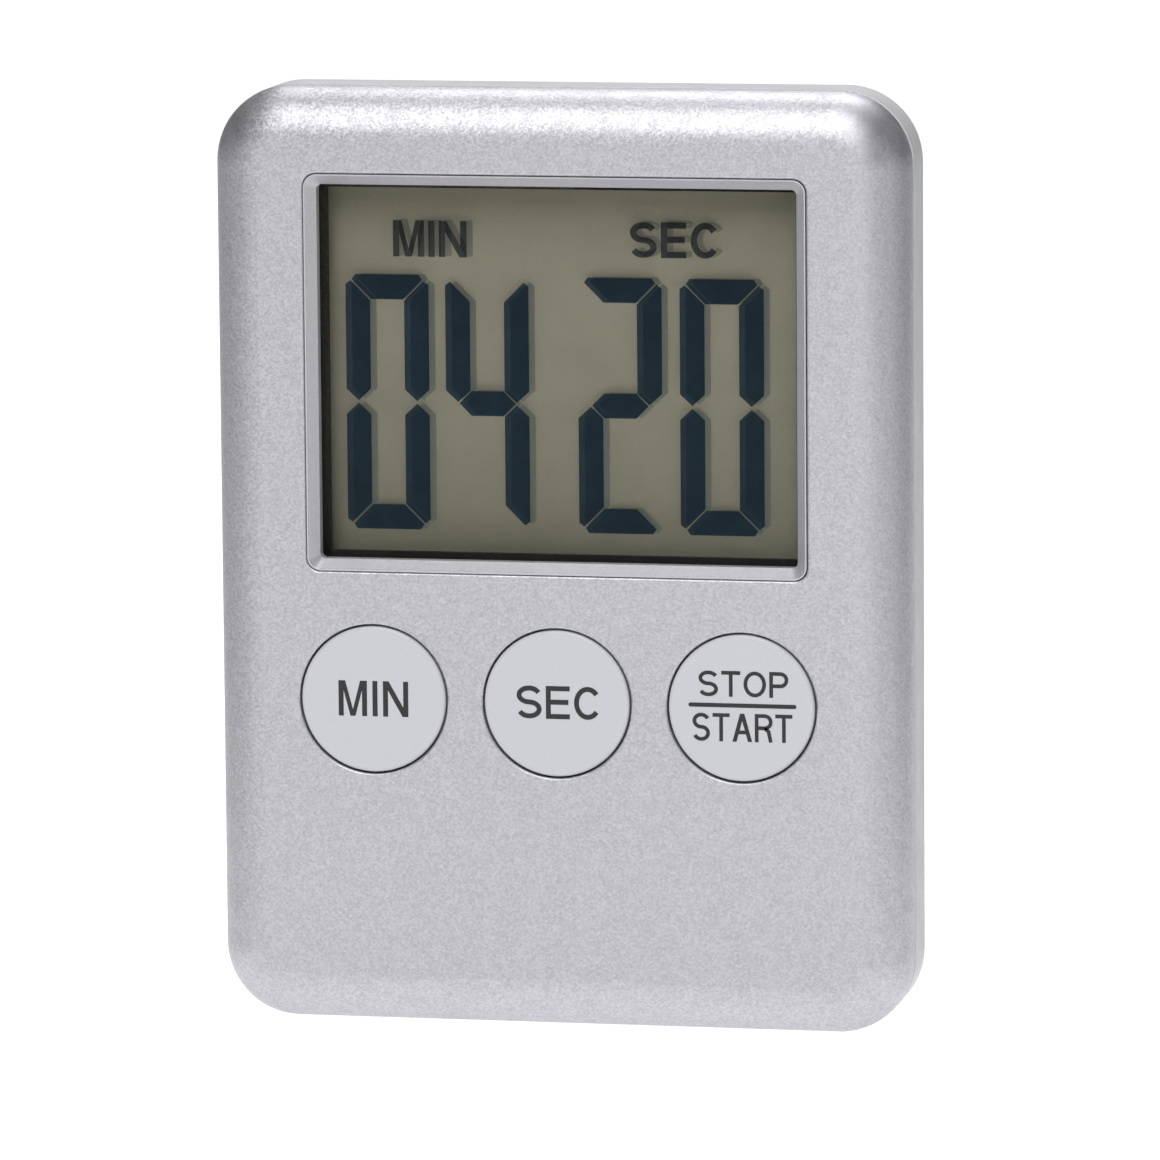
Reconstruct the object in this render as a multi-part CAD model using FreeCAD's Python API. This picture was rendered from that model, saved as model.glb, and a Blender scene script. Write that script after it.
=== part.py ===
import FreeCAD, Part
import math
import os

# A slim digital kitchen countdown timer with three round keys and a magnetic back.
# Sizes are in millimetres.  X runs across the width, Z up the height, and the front faces -Y.
# The origin is the centre of the flat rear face.
# A "depth" is a distance behind the front face; at_depth() turns it into a Y coordinate.

# ---------------------------------------------------------------- overall case

WIDTH = 52.2
HEIGHT = 70.0
THICKNESS = 9.6
CORNER_RADIUS = 5.6
FRONT_ROLL = 3.8
REAR_EDGE_RADIUS = 1.1
RIM_CHAMFER = 0.15

FRONT_WALL = 1.7
FRONT_SIDE_WALL = 1.6
FRONT_INNER_ROLL = 2.0
FRONT_SHELL_DEPTH = 4.25
PARTING_GROOVE = 0.3

REAR_WALL = 1.4
REAR_SIDE_WALL = 2.4
LIP_HEIGHT = 1.05
LIP_CLEARANCE = 0.1

HALF_WIDTH = WIDTH / 2
TOP = HEIGHT / 2
BOTTOM = -HEIGHT / 2
REAR_SHELL_DEPTH = FRONT_SHELL_DEPTH + PARTING_GROOVE
REAR_INNER = THICKNESS - REAR_WALL

# ---------------------------------------------------------------- button cell and battery door

CELL_RADIUS = 5.8
CELL_HEIGHT = 5.4
CELL_CAP_RADIUS = 5.1
CELL_CAP_STEP = 0.25
CELL_METAL = 0.25
CELL_FLOAT = 0.2

NEST_CLEARANCE = 0.2
NEST_WALL = 0.7
NEST_LEDGE = 0.6
NEST_DOOR_GAP = 0.3

DOOR_FLANGE_THICKNESS = 1.0
DOOR_FLANGE_WIDTH = 0.9
DOOR_EDGE_ROUND = 0.2
DOOR_SKIRT_WALL = 0.6
DOOR_SKIRT_HEIGHT = 2.0
DOOR_CROWN = 0.7
DOOR_CLEARANCE = 0.15
DOOR_LEDGE_GAP = 0.05
DOOR_LEDGE_THICKNESS = 1.1
DOOR_LUG_REACH = 0.7
DOOR_LUG_THICKNESS = 0.65
DOOR_LUG_ANGLE = 40
DOOR_NOTCH_ANGLE = 52
DOOR_TURN = 50
DOOR_SLOT_LENGTH = 10.0
DOOR_SLOT_WIDTH = 1.6
DOOR_SLOT_DEPTH = 0.6
DOOR_EDGE_MARGIN = 3.75

DOOR_SKIRT_INNER = CELL_RADIUS + NEST_CLEARANCE
DOOR_SKIRT_RADIUS = DOOR_SKIRT_INNER + DOOR_SKIRT_WALL
DOOR_FLANGE_RADIUS = DOOR_SKIRT_RADIUS + DOOR_FLANGE_WIDTH
DOOR_FLANGE_FRONT = THICKNESS - DOOR_FLANGE_THICKNESS
DOOR_CROWN_FRONT = DOOR_FLANGE_FRONT - DOOR_CROWN
DOOR_SKIRT_FRONT = DOOR_FLANGE_FRONT - DOOR_SKIRT_HEIGHT
DOOR_HOLE_RADIUS = DOOR_SKIRT_RADIUS + DOOR_CLEARANCE
DOOR_RECESS_RADIUS = DOOR_FLANGE_RADIUS + DOOR_CLEARANCE
CELL_CENTRE_HEIGHT = DOOR_RECESS_RADIUS + DOOR_EDGE_MARGIN
CELL_Z = BOTTOM + CELL_CENTRE_HEIGHT
DOOR_LEDGE_BACK = DOOR_FLANGE_FRONT - DOOR_LEDGE_GAP
DOOR_LEDGE_FRONT = DOOR_LEDGE_BACK - DOOR_LEDGE_THICKNESS
DOOR_LUG_BACK = DOOR_LEDGE_FRONT - 2 * DOOR_LEDGE_GAP
DOOR_LUG_RADIUS = DOOR_SKIRT_RADIUS + DOOR_LUG_REACH
CELL_BACK = DOOR_CROWN_FRONT - CELL_FLOAT
CELL_FRONT = CELL_BACK - CELL_HEIGHT
CELL_CAN_FRONT = CELL_FRONT + CELL_CAP_STEP
NEST_RADIUS = DOOR_SKIRT_INNER + NEST_WALL
NEST_BACK = DOOR_SKIRT_FRONT - NEST_DOOR_GAP

CONTACT_METAL = 0.2
CONTACT_WIDTH = 3.0
CONTACT_REACH = 10.5
CONTACT_SLOT_CLEARANCE = 0.15
CONTACT_FOOT_WIDTH = 1.8
CONTACT_FOOT_OVERLAP = 1.6
CONTACT_TONGUE = 2.0
CONTACT_RISE = 3.6

# ---------------------------------------------------------------- keys

KEY_HOLE_RADIUS = 5.62
KEY_BRIDGE = 2.65
KEY_NEST_GAP = 0.42
KEY_CLEARANCE = 0.15
KEY_HOLE_ROUND = 0.15
EDGE_FIND_MARGIN = 0.1
KEY_CAP_ROUND = 0.25
KEY_TRAVEL = 0.5
KEY_FLANGE_WIDTH = 0.68
KEY_FLANGE_THICKNESS = 0.8
KEY_FLANGE_GAP = 0.15
KEY_STEM_RADIUS = 2.4
KEY_CORE_INNER = 3.2
KEY_CORE_OUTER = 4.6
KEY_CORE_DEPTH = 1.2
KEY_PEG_RADIUS = 0.5
KEY_PEG_CLEARANCE = 0.15
KEY_NAMES = ("min", "sec", "start_stop")

KEY_PITCH = 2 * KEY_HOLE_RADIUS + KEY_BRIDGE
KEY_CAP_RADIUS = KEY_HOLE_RADIUS - KEY_CLEARANCE
KEY_FLANGE_RADIUS = KEY_CAP_RADIUS + KEY_FLANGE_WIDTH
KEY_ROW_HEIGHT = CELL_CENTRE_HEIGHT + NEST_RADIUS + KEY_NEST_GAP + KEY_FLANGE_RADIUS
KEY_ROW = BOTTOM + KEY_ROW_HEIGHT
KEY_FLANGE_FRONT = FRONT_WALL + KEY_FLANGE_GAP
KEY_FLANGE_BACK = KEY_FLANGE_FRONT + KEY_FLANGE_THICKNESS
KEY_PEG_OFFSET = KEY_CAP_RADIUS + KEY_PEG_CLEARANCE + KEY_PEG_RADIUS

# ---------------------------------------------------------------- window and lens

WINDOW_SIDE_MARGIN = 7.25
WINDOW_TOP_MARGIN = 6.2
KEY_WINDOW_GAP = 3.91
WINDOW_CORNER = 1.0
WINDOW_EDGE_ROUND = 0.2
TRIM_WIDTH = 0.85
TRIM_BEVEL_DEPTH = 0.85
TRIM_LAND = 0.1
TRIM_INNER_CORNER = 0.4
TRIM_CLEARANCE = 0.05

WINDOW_HALF = HALF_WIDTH - WINDOW_SIDE_MARGIN
CONTROL_ZONE = KEY_ROW_HEIGHT + KEY_HOLE_RADIUS + KEY_WINDOW_GAP
WINDOW_BOTTOM = BOTTOM + CONTROL_ZONE
WINDOW_TOP = TOP - WINDOW_TOP_MARGIN
VIEW_HALF = WINDOW_HALF - TRIM_WIDTH
VIEW_BOTTOM = WINDOW_BOTTOM + TRIM_WIDTH
VIEW_TOP = WINDOW_TOP - TRIM_WIDTH

LENS_THICKNESS = 1.0
LENS_MARGIN = 1.1
LENS_FRONT = FRONT_WALL
LENS_BACK = LENS_FRONT + LENS_THICKNESS

# ---------------------------------------------------------------- liquid crystal display

GASKET_THICKNESS = 0.5
GASKET_INSET = 0.37
POLARISER_THICKNESS = 0.2
GLASS_THICKNESS = 0.7
GLASS_SIDE_MARGIN = 1.05
GLASS_END_MARGIN = 1.25
GLASS_LEDGE = 2.0
HOLDER_WALL = 0.65
HOLDER_CLEARANCE = 0.15
ZEBRA_WIDTH = 1.5

GASKET_BACK = LENS_BACK + GASKET_THICKNESS
FRONT_GLASS_FRONT = GASKET_BACK + POLARISER_THICKNESS
FRONT_GLASS_BACK = FRONT_GLASS_FRONT + GLASS_THICKNESS
REAR_GLASS_BACK = FRONT_GLASS_BACK + GLASS_THICKNESS
REFLECTOR_BACK = REAR_GLASS_BACK + POLARISER_THICKNESS
GLASS_HALF = VIEW_HALF + GLASS_SIDE_MARGIN
REAR_GLASS_BOTTOM = VIEW_BOTTOM - GLASS_END_MARGIN
REAR_GLASS_TOP = VIEW_TOP + GLASS_END_MARGIN
FRONT_GLASS_BOTTOM = REAR_GLASS_BOTTOM - GLASS_LEDGE
FRONT_GLASS_TOP = REAR_GLASS_TOP + GLASS_LEDGE
HOLDER_INNER_HALF = GLASS_HALF + HOLDER_CLEARANCE
HOLDER_HALF = HOLDER_INNER_HALF + HOLDER_WALL

# ---------------------------------------------------------------- circuit board

BOARD_GAP = 0.7
BOARD_THICKNESS = 0.8
BOARD_CLEARANCE = 0.3
BOARD_NOTCH = 2.2

BOARD_FRONT = REFLECTOR_BACK + BOARD_GAP
BOARD_BACK = BOARD_FRONT + BOARD_THICKNESS
BOARD_HALF = HALF_WIDTH - REAR_SIDE_WALL - BOARD_CLEARANCE
BOARD_TOP = TOP - REAR_SIDE_WALL - BOARD_CLEARANCE
BOARD_BOTTOM = CELL_Z + NEST_RADIUS + BOARD_CLEARANCE

# ---------------------------------------------------------------- screws and posts

CASE_SCREW_INSET = 4.0
CASE_SCREW_RADIUS = 0.85
CASE_SCREW_HEAD_RADIUS = 1.45
CASE_SCREW_HEAD_HEIGHT = 1.0
CASE_SCREW_SUNK = 0.2
CASE_SCREW_BITE = 2.2
CASE_BOSS_RADIUS = 1.9
BOSS_GAP = 0.1
HEAD_CLEARANCE = 0.1
SHANK_CLEARANCE = 0.1
DRIVE_ARM = 0.8
DRIVE_WIDTH = 0.35
DRIVE_DEPTH = 0.45
DRIVE_HEAD_SHARE = 0.6

BOARD_SCREW_RADIUS = 0.6
BOARD_SCREW_HEAD_RADIUS = 1.15
BOARD_SCREW_HEAD_HEIGHT = 0.45
BOARD_SCREW_BITE = 2.5
BOARD_POST_RADIUS = 1.4
BOARD_POST_INSET = 4.2
BOARD_POST_BELOW_WINDOW = 0.8
BOARD_POST_BELOW_TOP = 13.0
BOARD_POST_BELOW_KEYS = 4.1

CASE_SCREW_X = HALF_WIDTH - CASE_SCREW_INSET
CASE_SCREW_Z = TOP - CASE_SCREW_INSET

# ---------------------------------------------------------------- keypad

SHEET_THICKNESS = 0.6
SHEET_MARGIN = 4.6
DOME_BASE_RADIUS = 3.2
DOME_TOP_RADIUS = 2.5
DOME_WALL = 0.45
DOME_TOP_THICKNESS = 0.6
PILL_RADIUS = 1.6
PAD_THICKNESS = 0.05
PAD_RADIUS = 1.7
PAD_FINGERS = 3
PAD_GAP = 0.2
CONTACT_GAP = 0.05
STEM_GAP = 0.05

PAD_FRONT = BOARD_FRONT - PAD_THICKNESS
SHEET_FRONT = BOARD_FRONT - SHEET_THICKNESS
PILL_BACK = PAD_FRONT - CONTACT_GAP - KEY_TRAVEL
PILL_THICKNESS = 0.7
PILL_FRONT = PILL_BACK - PILL_THICKNESS
DOME_TOP_BACK = PILL_FRONT
DOME_TOP_FRONT = DOME_TOP_BACK - DOME_TOP_THICKNESS
KEY_STEM_END = DOME_TOP_FRONT - STEM_GAP

# ---------------------------------------------------------------- fold-out stand

STAND_HALF_WIDTH = 11.0
STAND_BAR = 3.2
STAND_THICKNESS = 1.3
STAND_CORNER = 3.0
STAND_CLEARANCE = 0.25
STAND_FLOOR_GAP = 0.15
STAND_DOOR_GAP = 1.85
STAND_BELOW_TOP = 15.7
STAND_BARREL_RADIUS = 0.95
STAND_PIN_RADIUS = 0.5
STAND_PIN_FIT = 0.04
STAND_PIN_BITE = 1.3
STAND_SWING_ROOM = 2.0
BARREL_CLEARANCE = 0.2
POCKET_WALL = 0.75
BARREL_WALL = 0.5
FINGER_NOTCH_RADIUS = 4.0
FINGER_NOTCH_REACH = 2.2

STAND_SWING_RADIUS = STAND_SWING_ROOM * STAND_BARREL_RADIUS
STAND_PIN_HEIGHT = CELL_CENTRE_HEIGHT + DOOR_RECESS_RADIUS + STAND_DOOR_GAP + STAND_SWING_RADIUS
PIN_Z = BOTTOM + STAND_PIN_HEIGHT
STAND_TOP = TOP - STAND_BELOW_TOP
PIN_DEPTH = THICKNESS - STAND_BARREL_RADIUS
STAND_FRONT = THICKNESS - STAND_THICKNESS
CHANNEL_FLOOR = STAND_FRONT - STAND_FLOOR_GAP
CHANNEL_HALF = STAND_HALF_WIDTH + STAND_CLEARANCE
CHANNEL_TOP = STAND_TOP + STAND_CLEARANCE
CHANNEL_BOTTOM = PIN_Z - STAND_SWING_RADIUS
ISLAND_HALF = STAND_HALF_WIDTH - STAND_BAR - STAND_CLEARANCE
ISLAND_TOP = STAND_TOP - STAND_BAR - STAND_CLEARANCE
ISLAND_BOTTOM = PIN_Z - STAND_BARREL_RADIUS + STAND_BAR + STAND_CLEARANCE

# ---------------------------------------------------------------- magnets and sounder

MAGNET_WIDTH = 7.0
MAGNET_HEIGHT = 32.0
MAGNET_THICKNESS = 1.15
MAGNET_GLUE = 0.05
MAGNET_CLEARANCE = 0.1
MAGNET_SIDE_MARGIN = 5.7
MAGNET_BELOW_TOP = 11.0

MAGNET_X = HALF_WIDTH - MAGNET_SIDE_MARGIN - MAGNET_WIDTH / 2
MAGNET_TOP = TOP - MAGNET_BELOW_TOP
MAGNET_BOTTOM = max(MAGNET_TOP - MAGNET_HEIGHT, PIN_Z + STAND_BAR)
MAGNET_FLOOR = THICKNESS - MAGNET_THICKNESS - MAGNET_GLUE

SOUNDER_CLEARANCE = 0.4
SOUNDER_RIM = 2.0
SOUNDER_METAL = 0.2
CERAMIC_THICKNESS = 0.22
SOUNDER_SEAT_WIDTH = 0.7
SOUNDER_CHAMBER = 0.25
SOUND_HOLE_RADIUS = 0.55
SOUND_HOLE_CIRCLE = 2.7
SOUND_HOLE_COUNT = 6
SPRING_METAL = 0.15
SPRING_WIDTH = 1.2
SPRING_TOUCH_HALF = 0.6
SPRING_RISE = 2.0
SPRING_FOOT = 2.0
RIM_TOUCH_HALF = 0.5
RIM_RISE = 1.7
RIM_FOOT = 1.4

SOUNDER_Z = (ISLAND_TOP + ISLAND_BOTTOM) / 2
SOUNDER_ROOM_HALF_WIDTH = ISLAND_HALF - POCKET_WALL
SOUNDER_ROOM_HALF_HEIGHT = (ISLAND_TOP - ISLAND_BOTTOM) / 2 - POCKET_WALL
SOUNDER_RADIUS = min(SOUNDER_ROOM_HALF_WIDTH, SOUNDER_ROOM_HALF_HEIGHT) - SOUNDER_CLEARANCE
CERAMIC_RADIUS = SOUNDER_RADIUS - SOUNDER_RIM
SOUNDER_BACK = REAR_INNER - SOUNDER_CHAMBER
SOUNDER_FRONT = SOUNDER_BACK - SOUNDER_METAL
CERAMIC_FRONT = SOUNDER_FRONT - CERAMIC_THICKNESS

# ---------------------------------------------------------------- parts on the board

BLOB_RADIUS = 4.2
BLOB_HEIGHT = 0.95
BLOB_BELOW_TOP = 9.3
CRYSTAL_RADIUS = 1.0
CRYSTAL_LENGTH = 6.0
CRYSTAL_INSET = 3.8
CRYSTAL_LEAD = 0.3
CRYSTAL_LEAD_SPACING = 0.7
CRYSTAL_LEAD_LENGTH = 1.0
CHIP_LENGTH = 2.0
CHIP_WIDTH = 1.25
CHIP_HEIGHT = 0.6
CHIP_PITCH = 2.4
CHIP_COLUMN = 8.0
TRANSISTOR_LENGTH = 2.9
TRANSISTOR_WIDTH = 1.3
TRANSISTOR_HEIGHT = 0.95
TRANSISTOR_LEG = 0.4
TRANSISTOR_LEG_OFFSET = 0.95
INDUCTOR_SIZE = 3.0
INDUCTOR_HEIGHT = 1.3
SMALL_PART_BELOW_TOP = 5.5

# ---------------------------------------------------------------- shape helpers


def at_depth(depth):
    """Y coordinate of a plane this far behind the front face."""
    return depth - THICKNESS


def point(x, depth, z):
    return FreeCAD.Vector(x, at_depth(depth), z)


def block(x_min, x_max, z_min, z_max, front, back):
    corner = point(x_min, front, z_min)
    return Part.makeBox(x_max - x_min, back - front, z_max - z_min, corner)


def disc(x, z, radius, front, back):
    return Part.makeCylinder(radius, back - front, point(x, front, z), FreeCAD.Vector(0, 1, 0))


def ring(x, z, inner, outer, front, back):
    return disc(x, z, outer, front, back).cut(disc(x, z, inner, front, back))


def rod_along_x(x_min, x_max, depth, z, radius):
    return Part.makeCylinder(radius, x_max - x_min, point(x_min, depth, z), FreeCAD.Vector(1, 0, 0))


def rounded_outline(half_width, z_min, z_max, radius, depth):
    """Closed rectangle with round corners, lying in the plane at one depth."""
    corners = (
        (half_width - radius, z_max - radius, 0),
        (radius - half_width, z_max - radius, 90),
        (radius - half_width, z_min + radius, 180),
        (half_width - radius, z_min + radius, 270),
    )
    edges = []
    ends = []
    for x, z, start in corners:
        arc_points = []
        for angle in (start, start + 45, start + 90):
            turn = math.radians(angle)
            arc_points.append(point(x + radius * math.cos(turn), depth, z + radius * math.sin(turn)))
        edges.append(Part.Arc(*arc_points).toShape())
        ends.append((arc_points[0], arc_points[2]))
    for index, (_, finish) in enumerate(ends):
        start = ends[(index + 1) % len(ends)][0]
        edges.append(Part.makeLine(finish, start))
    return Part.Wire(Part.__sortEdges__(edges))


def rounded_plate(half_width, z_min, z_max, radius, front, back):
    face = Part.Face(rounded_outline(half_width, z_min, z_max, radius, front))
    return face.extrude(FreeCAD.Vector(0, back - front, 0))


def edges_at_depth(shape, depth, x_span=WIDTH, z_span=HEIGHT):
    """Edges lying in the plane at one depth, inside the given half spans round the origin."""
    found = []
    for edge in shape.Edges:
        box = edge.BoundBox
        flat = abs(box.YMin - at_depth(depth)) < 1e-4 and abs(box.YMax - at_depth(depth)) < 1e-4
        inside = max(-box.XMin, box.XMax) < x_span and max(-box.ZMin, box.ZMax) < z_span
        if flat and inside:
            found.append(edge)
    return found


def bent_strip(path, metal, z_min, z_max):
    """Folded sheet-metal strip: path lists (x, depth) points along the middle of the metal."""
    sides = ([], [])
    for index, here in enumerate(path):
        before = path[max(index - 1, 0)]
        after = path[min(index + 1, len(path) - 1)]
        normals = []
        for start, finish in ((before, here), (here, after)):
            length = math.hypot(finish[0] - start[0], finish[1] - start[1])
            if length > 0:
                normals.append(((start[1] - finish[1]) / length, (finish[0] - start[0]) / length))
        normal_x = sum(normal[0] for normal in normals) / len(normals)
        normal_depth = sum(normal[1] for normal in normals) / len(normals)
        stretch = metal / 2 / (normal_x ** 2 + normal_depth ** 2)
        for side, sign in zip(sides, (1, -1)):
            x = here[0] + sign * normal_x * stretch
            depth = here[1] + sign * normal_depth * stretch
            side.append(point(x, depth, z_min))
    outline = sides[0] + sides[1][::-1]
    outline.append(outline[0])
    face = Part.Face(Part.makePolygon(outline))
    return face.extrude(FreeCAD.Vector(0, 0, z_max - z_min))


def fuse_all(shapes):
    return shapes[0].multiFuse(shapes[1:]).removeSplitter()


def case_screw_places():
    return [(side * CASE_SCREW_X, end * CASE_SCREW_Z) for side in (-1, 1) for end in (-1, 1)]


def board_screw_places():
    edge = HALF_WIDTH - BOARD_POST_INSET
    rows = (
        (edge, TOP - BOARD_POST_BELOW_TOP),
        (edge, WINDOW_BOTTOM - BOARD_POST_BELOW_WINDOW),
        (KEY_PITCH / 2, KEY_ROW - BOARD_POST_BELOW_KEYS),
    )
    return [(side * x, z) for x, z in rows for side in (-1, 1)]


def key_x(index):
    return (index - 1) * KEY_PITCH


def screw(x, z, head_outer, head_height, head_radius, shank_radius, tip):
    """Pan-head screw driven from the rear, with a cross recess."""
    head_inner = head_outer - head_height
    body = disc(x, z, head_radius, head_inner, head_outer)
    body = body.fuse(disc(x, z, shank_radius, tip, head_inner))
    recess_front = head_outer - min(DRIVE_DEPTH, head_height * DRIVE_HEAD_SHARE)
    for long_x, long_z in ((DRIVE_ARM, DRIVE_WIDTH / 2), (DRIVE_WIDTH / 2, DRIVE_ARM)):
        arm = block(x - long_x, x + long_x, z - long_z, z + long_z, recess_front, head_outer)
        body = body.cut(arm)
    return body.removeSplitter()


# ---------------------------------------------------------------- case


def cell_nest():
    """Round wall and ledge that hold the button cell, open where the contacts come through."""
    wall = ring(0, CELL_Z, DOOR_SKIRT_INNER, NEST_RADIUS, FRONT_WALL, NEST_BACK)
    ledge_inner = DOOR_SKIRT_INNER - NEST_LEDGE
    ledge = ring(0, CELL_Z, ledge_inner, DOOR_SKIRT_INNER, FRONT_WALL, CELL_CAN_FRONT)
    nest = wall.fuse(ledge)
    half_slot = CONTACT_WIDTH / 2 + CONTACT_SLOT_CLEARANCE
    low_slot_back = FRONT_WALL + CONTACT_METAL + CONTACT_SLOT_CLEARANCE
    tall_slot_back = FRONT_WALL + CONTACT_RISE + CONTACT_SLOT_CLEARANCE
    slot_z = (CELL_Z - half_slot, CELL_Z + half_slot)
    nest = nest.cut(block(-NEST_RADIUS, 0, *slot_z, FRONT_WALL, low_slot_back))
    return nest.cut(block(0, NEST_RADIUS, *slot_z, FRONT_WALL, tall_slot_back))


def key_well(index):
    """Room for a key's flange and travel.  It only meets the wall where a key sits close to it."""
    radius = KEY_FLANGE_RADIUS + KEY_CLEARANCE
    back = KEY_FLANGE_BACK + KEY_TRAVEL + KEY_CLEARANCE
    return disc(key_x(index), KEY_ROW, radius, FRONT_WALL, back)


def front_shell():
    outer = rounded_plate(HALF_WIDTH, BOTTOM, TOP, CORNER_RADIUS, 0, FRONT_SHELL_DEPTH)
    outer = outer.makeFillet(FRONT_ROLL, edges_at_depth(outer, 0))
    outer = outer.makeChamfer(RIM_CHAMFER, edges_at_depth(outer, FRONT_SHELL_DEPTH))

    cavity = rounded_plate(
        HALF_WIDTH - FRONT_SIDE_WALL,
        BOTTOM + FRONT_SIDE_WALL,
        TOP - FRONT_SIDE_WALL,
        CORNER_RADIUS - FRONT_SIDE_WALL,
        FRONT_WALL,
        THICKNESS,
    )
    cavity = cavity.makeFillet(FRONT_INNER_ROLL, edges_at_depth(cavity, FRONT_WALL))
    shell = outer.cut(cavity)
    for index in range(len(KEY_NAMES)):
        shell = shell.cut(key_well(index))

    fittings = [cell_nest()]
    for x, z in case_screw_places():
        fittings.append(disc(x, z, CASE_BOSS_RADIUS, FRONT_WALL, REAR_SHELL_DEPTH))
    for x, z in board_screw_places():
        fittings.append(disc(x, z, BOARD_POST_RADIUS, FRONT_WALL, BOARD_FRONT))
    for index in range(len(KEY_NAMES)):
        peg_back = KEY_FLANGE_BACK + KEY_TRAVEL + KEY_PEG_CLEARANCE
        peg_x = key_x(index) + KEY_PEG_OFFSET
        fittings.append(disc(peg_x, KEY_ROW, KEY_PEG_RADIUS, FRONT_WALL, peg_back))
    shell = fuse_all([shell] + fittings)

    shell = shell.cut(
        rounded_plate(WINDOW_HALF, WINDOW_BOTTOM, WINDOW_TOP, WINDOW_CORNER, 0, FRONT_WALL)
    )
    for index in range(len(KEY_NAMES)):
        shell = shell.cut(disc(key_x(index), KEY_ROW, KEY_HOLE_RADIUS, 0, FRONT_WALL))
    for x, z in case_screw_places():
        pilot_front = REAR_SHELL_DEPTH - CASE_SCREW_BITE
        shell = shell.cut(disc(x, z, CASE_SCREW_RADIUS, pilot_front, THICKNESS))
    for x, z in board_screw_places():
        pilot_front = BOARD_FRONT - BOARD_SCREW_BITE
        shell = shell.cut(disc(x, z, BOARD_SCREW_RADIUS, pilot_front, THICKNESS))

    window_edges = [
        edge for edge in edges_at_depth(shell, 0, WINDOW_HALF + EDGE_FIND_MARGIN)
        if edge.BoundBox.ZMin > WINDOW_BOTTOM - EDGE_FIND_MARGIN
    ]
    shell = shell.makeFillet(WINDOW_EDGE_ROUND, window_edges)
    key_edges = [
        edge for edge in edges_at_depth(shell, 0)
        if edge.BoundBox.ZMax < KEY_ROW + KEY_HOLE_RADIUS + EDGE_FIND_MARGIN
        and edge.BoundBox.ZMin > KEY_ROW - KEY_HOLE_RADIUS - EDGE_FIND_MARGIN
    ]
    return shell.makeFillet(KEY_HOLE_ROUND, key_edges)


def stand_channel():
    """Pocket for the folded stand: a frame-shaped channel and the round bed of its barrel."""
    channel = rounded_plate(
        CHANNEL_HALF, CHANNEL_BOTTOM, CHANNEL_TOP, STAND_CORNER, CHANNEL_FLOOR, THICKNESS
    )
    lower = block(-CHANNEL_HALF, CHANNEL_HALF, CHANNEL_BOTTOM, PIN_Z, CHANNEL_FLOOR, THICKNESS)
    island = rounded_plate(
        ISLAND_HALF, ISLAND_BOTTOM, ISLAND_TOP, STAND_CORNER / 2, CHANNEL_FLOOR, THICKNESS
    )
    bed_radius = STAND_BARREL_RADIUS + BARREL_CLEARANCE
    bed = rod_along_x(-CHANNEL_HALF, CHANNEL_HALF, PIN_DEPTH, PIN_Z, bed_radius)
    notch_z = CHANNEL_TOP + FINGER_NOTCH_REACH - FINGER_NOTCH_RADIUS
    notch = disc(0, notch_z, FINGER_NOTCH_RADIUS, CHANNEL_FLOOR, THICKNESS)
    return channel.fuse(lower).cut(island).fuse(bed).fuse(notch.cut(island))


def stand_backing():
    """Material inside the rear wall that keeps the stand pocket closed."""
    half = CHANNEL_HALF + POCKET_WALL
    front = CHANNEL_FLOOR - POCKET_WALL
    top = CHANNEL_TOP + FINGER_NOTCH_REACH + POCKET_WALL
    frame = block(-half, half, CHANNEL_BOTTOM - POCKET_WALL, top, front, REAR_INNER)
    sounder_room = rounded_plate(
        ISLAND_HALF - POCKET_WALL,
        ISLAND_BOTTOM + POCKET_WALL,
        ISLAND_TOP - POCKET_WALL,
        STAND_CORNER / 2 - POCKET_WALL / 2,
        front,
        REAR_INNER,
    )
    bed_radius = STAND_BARREL_RADIUS + BARREL_CLEARANCE + BARREL_WALL
    bed = rod_along_x(-half, half, PIN_DEPTH, PIN_Z, bed_radius)
    bed = bed.common(block(-half, half, BOTTOM, TOP, 0, REAR_INNER))
    return frame.cut(sounder_room).fuse(bed)


def magnet_pocket_backing(side):
    edge = MAGNET_WIDTH / 2 + MAGNET_CLEARANCE + POCKET_WALL
    return block(
        side * MAGNET_X - edge,
        side * MAGNET_X + edge,
        MAGNET_BOTTOM - MAGNET_CLEARANCE - POCKET_WALL,
        MAGNET_TOP + MAGNET_CLEARANCE + POCKET_WALL,
        MAGNET_FLOOR - POCKET_WALL,
        REAR_INNER,
    )


def magnet_pocket(side):
    edge = MAGNET_WIDTH / 2 + MAGNET_CLEARANCE
    return block(
        side * MAGNET_X - edge,
        side * MAGNET_X + edge,
        MAGNET_BOTTOM - MAGNET_CLEARANCE,
        MAGNET_TOP + MAGNET_CLEARANCE,
        MAGNET_FLOOR,
        THICKNESS,
    )


def sector(inner, outer, middle_angle, width_angle, front, back):
    """Wedge of a ring round the cell axis; angles are degrees from +X towards +Z."""
    wedge = ring(0, CELL_Z, inner, outer, front, back)
    reach = 2 * outer
    corners = [point(0, front, CELL_Z)]
    for angle in (middle_angle - width_angle / 2, middle_angle, middle_angle + width_angle / 2):
        turn = math.radians(angle)
        corners.append(point(reach * math.cos(turn), front, CELL_Z + reach * math.sin(turn)))
    corners.append(corners[0])
    pie = Part.Face(Part.makePolygon(corners)).extrude(FreeCAD.Vector(0, back - front, 0))
    return wedge.common(pie)


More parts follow.
